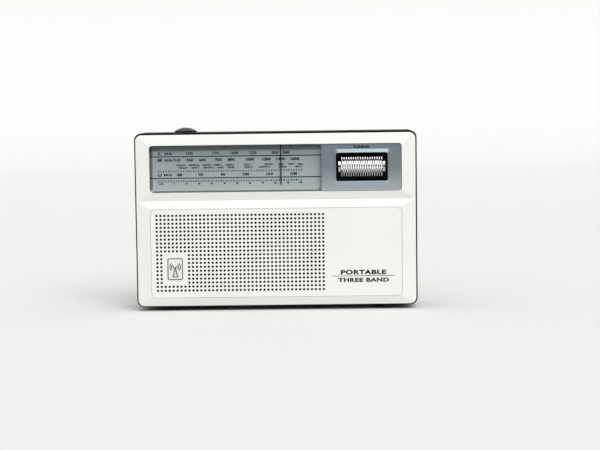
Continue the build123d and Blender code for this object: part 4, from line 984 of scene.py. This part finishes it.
bm = bmesh.new()
label_y = bed_y + label_thickness
frame_margin = 0.001
printed_frame(
    bm,
    label_width - 2 * frame_margin,
    label_height - 2 * frame_margin,
    label_x,
    label_y,
    label_z,
    label_corner,
    label_line,
)
for row in (-1, 1):
    cell_z = label_z + row * (drawn_radius + drawn_gap / 2)
    for start in (label_x - drawn_cell - drawn_nub / 2, label_x + drawn_nub / 2):
        end, top, bottom = start + drawn_cell, cell_z + drawn_radius, cell_z - drawn_radius
        for x, z in (
            ((start, end), (top - label_line, top)),
            ((start, end), (bottom, bottom + label_line)),
            ((start, start + label_line), (bottom, top)),
            ((end - label_line, end), (bottom, top)),
            ((start - drawn_nub, start), (cell_z - drawn_nub, cell_z + drawn_nub)),
            ((start + 0.0018, start + 0.0042), (cell_z - 0.0002, cell_z + 0.0002)),
            ((start + 0.0028, start + 0.0032), (cell_z - 0.0012, cell_z + 0.0012)),
            ((end - 0.0042, end - 0.0018), (cell_z - 0.0002, cell_z + 0.0002)),
        ):
            bar(bm, x, z, label_y)
printed("label_print", bm, outward=1)

# ---- volume control -----------------------------------------------------------------------------
# A potentiometer under the top of the case, and a low domed knob of dark spun aluminium with
# a knurled rim.
knurls, knurl_depth, dome_rim, dome_steps = 72, 0.00012, 0.0009, 10
spun_pitch = 0.00025

volume_low, volume_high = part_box("volume_knob")
volume_radius = (volume_high.x - volume_low.x) / 2
volume_axis = (volume_low + volume_high) / 2
knob_z0 = shell_high.z + 0.0003
dome_rise = volume_high.z - knob_z0 - dome_rim
dome_radius = (volume_radius**2 + dome_rise**2) / (2 * dome_rise)
half_angle = Vector((0, dome_radius)).angle(Vector((volume_radius, dome_radius - dome_rise)))
profile = [(volume_low.z, 0.0), (volume_low.z, 0.0025), (knob_z0 + 0.0004, 0.0025)]
profile += [(knob_z0 + 0.0004, 0.0060), (knob_z0, 0.0066), (knob_z0, volume_radius - 0.0002)]
profile.append((knob_z0 + 0.0002, volume_radius))
for step in range(dome_steps + 1):
    angle = half_angle * (1 - step / dome_steps)
    profile.append((volume_high.z - dome_radius * (1 - cos(angle)), dome_radius * sin(angle)))
bm = bmesh.new()
turned(bm, profile, 2 * knurls, Vector((volume_axis.x, volume_axis.y, 0)), (0, 0, 1))
for v in bm.verts:
    arm = Vector((v.co.x - volume_axis.x, v.co.y - volume_axis.y, 0))
    if arm.length > volume_radius * 0.985:
        step = round(arm.angle(Vector((1, 0, 0))) / (pi / knurls))
        if step % 2:
            v.co -= arm.normalized() * knurl_depth
bmesh.ops.recalc_face_normals(bm, faces=bm.faces)
shade_smooth(bm)
volume_knob = new_object("volume_dome", bm)
spun, nodes, links, shader, place = new_material(
    "spun_aluminium", Base_Color=(0.11, 0.102, 0.098, 1), Metallic=1.0
)
centred = fed(place, "Mapping", "Vector", Location=(-volume_axis.x, -volume_axis.y, 0)).outputs["Vector"]
cuts = bands(centred, wave_width_at_one / spun_pitch, "Z", rings=True, Distortion=1.5, Detail=4.0)
links.new(between(cuts, 0.16, 0.30), shader.inputs["Roughness"])
relief(cuts, shader, 0.00001, 0.3)
settle(volume_knob, spun, "chrome", "volume", "volume_knob")
dress(pressed_steel, "volume_pot")

# ---- band switch and sockets --------------------------------------------------------------------
# A slide switch whose grooved nub stands in a slot of the top, an earphone jack in the left
# side and a power inlet in the back.
socket_edge_radius = 0.0002

settle(softened("band_switch", drive_edge_radius), grey_moulding, "grey_plastic", "case", "band_switch")
for node, body in (("band_slider", "band"), ("earphone_jack", "case"), ("dc_inlet", "case")):
    settle(softened(node, socket_edge_radius), black_moulding, "black_plastic", body, node)

# ---- telescopic antenna ---------------------------------------------------------------------------
# Four chromed brass sections on a knuckle and a swivel base, folded into the channel along
# the rear edge of the top.
antenna_chrome = metal("antenna_chrome", (0.78, 0.78, 0.78), 0.10, "x", blotch=0.05)
antenna_parts = ("antenna_base", "antenna_knuckle", "antenna_tube_1", "antenna_tube_2", "antenna_tube_3")
dress(antenna_chrome, *antenna_parts, "antenna_rod", "antenna_tip", "antenna_pin")
dress(zinc_steel, "antenna_retainer")
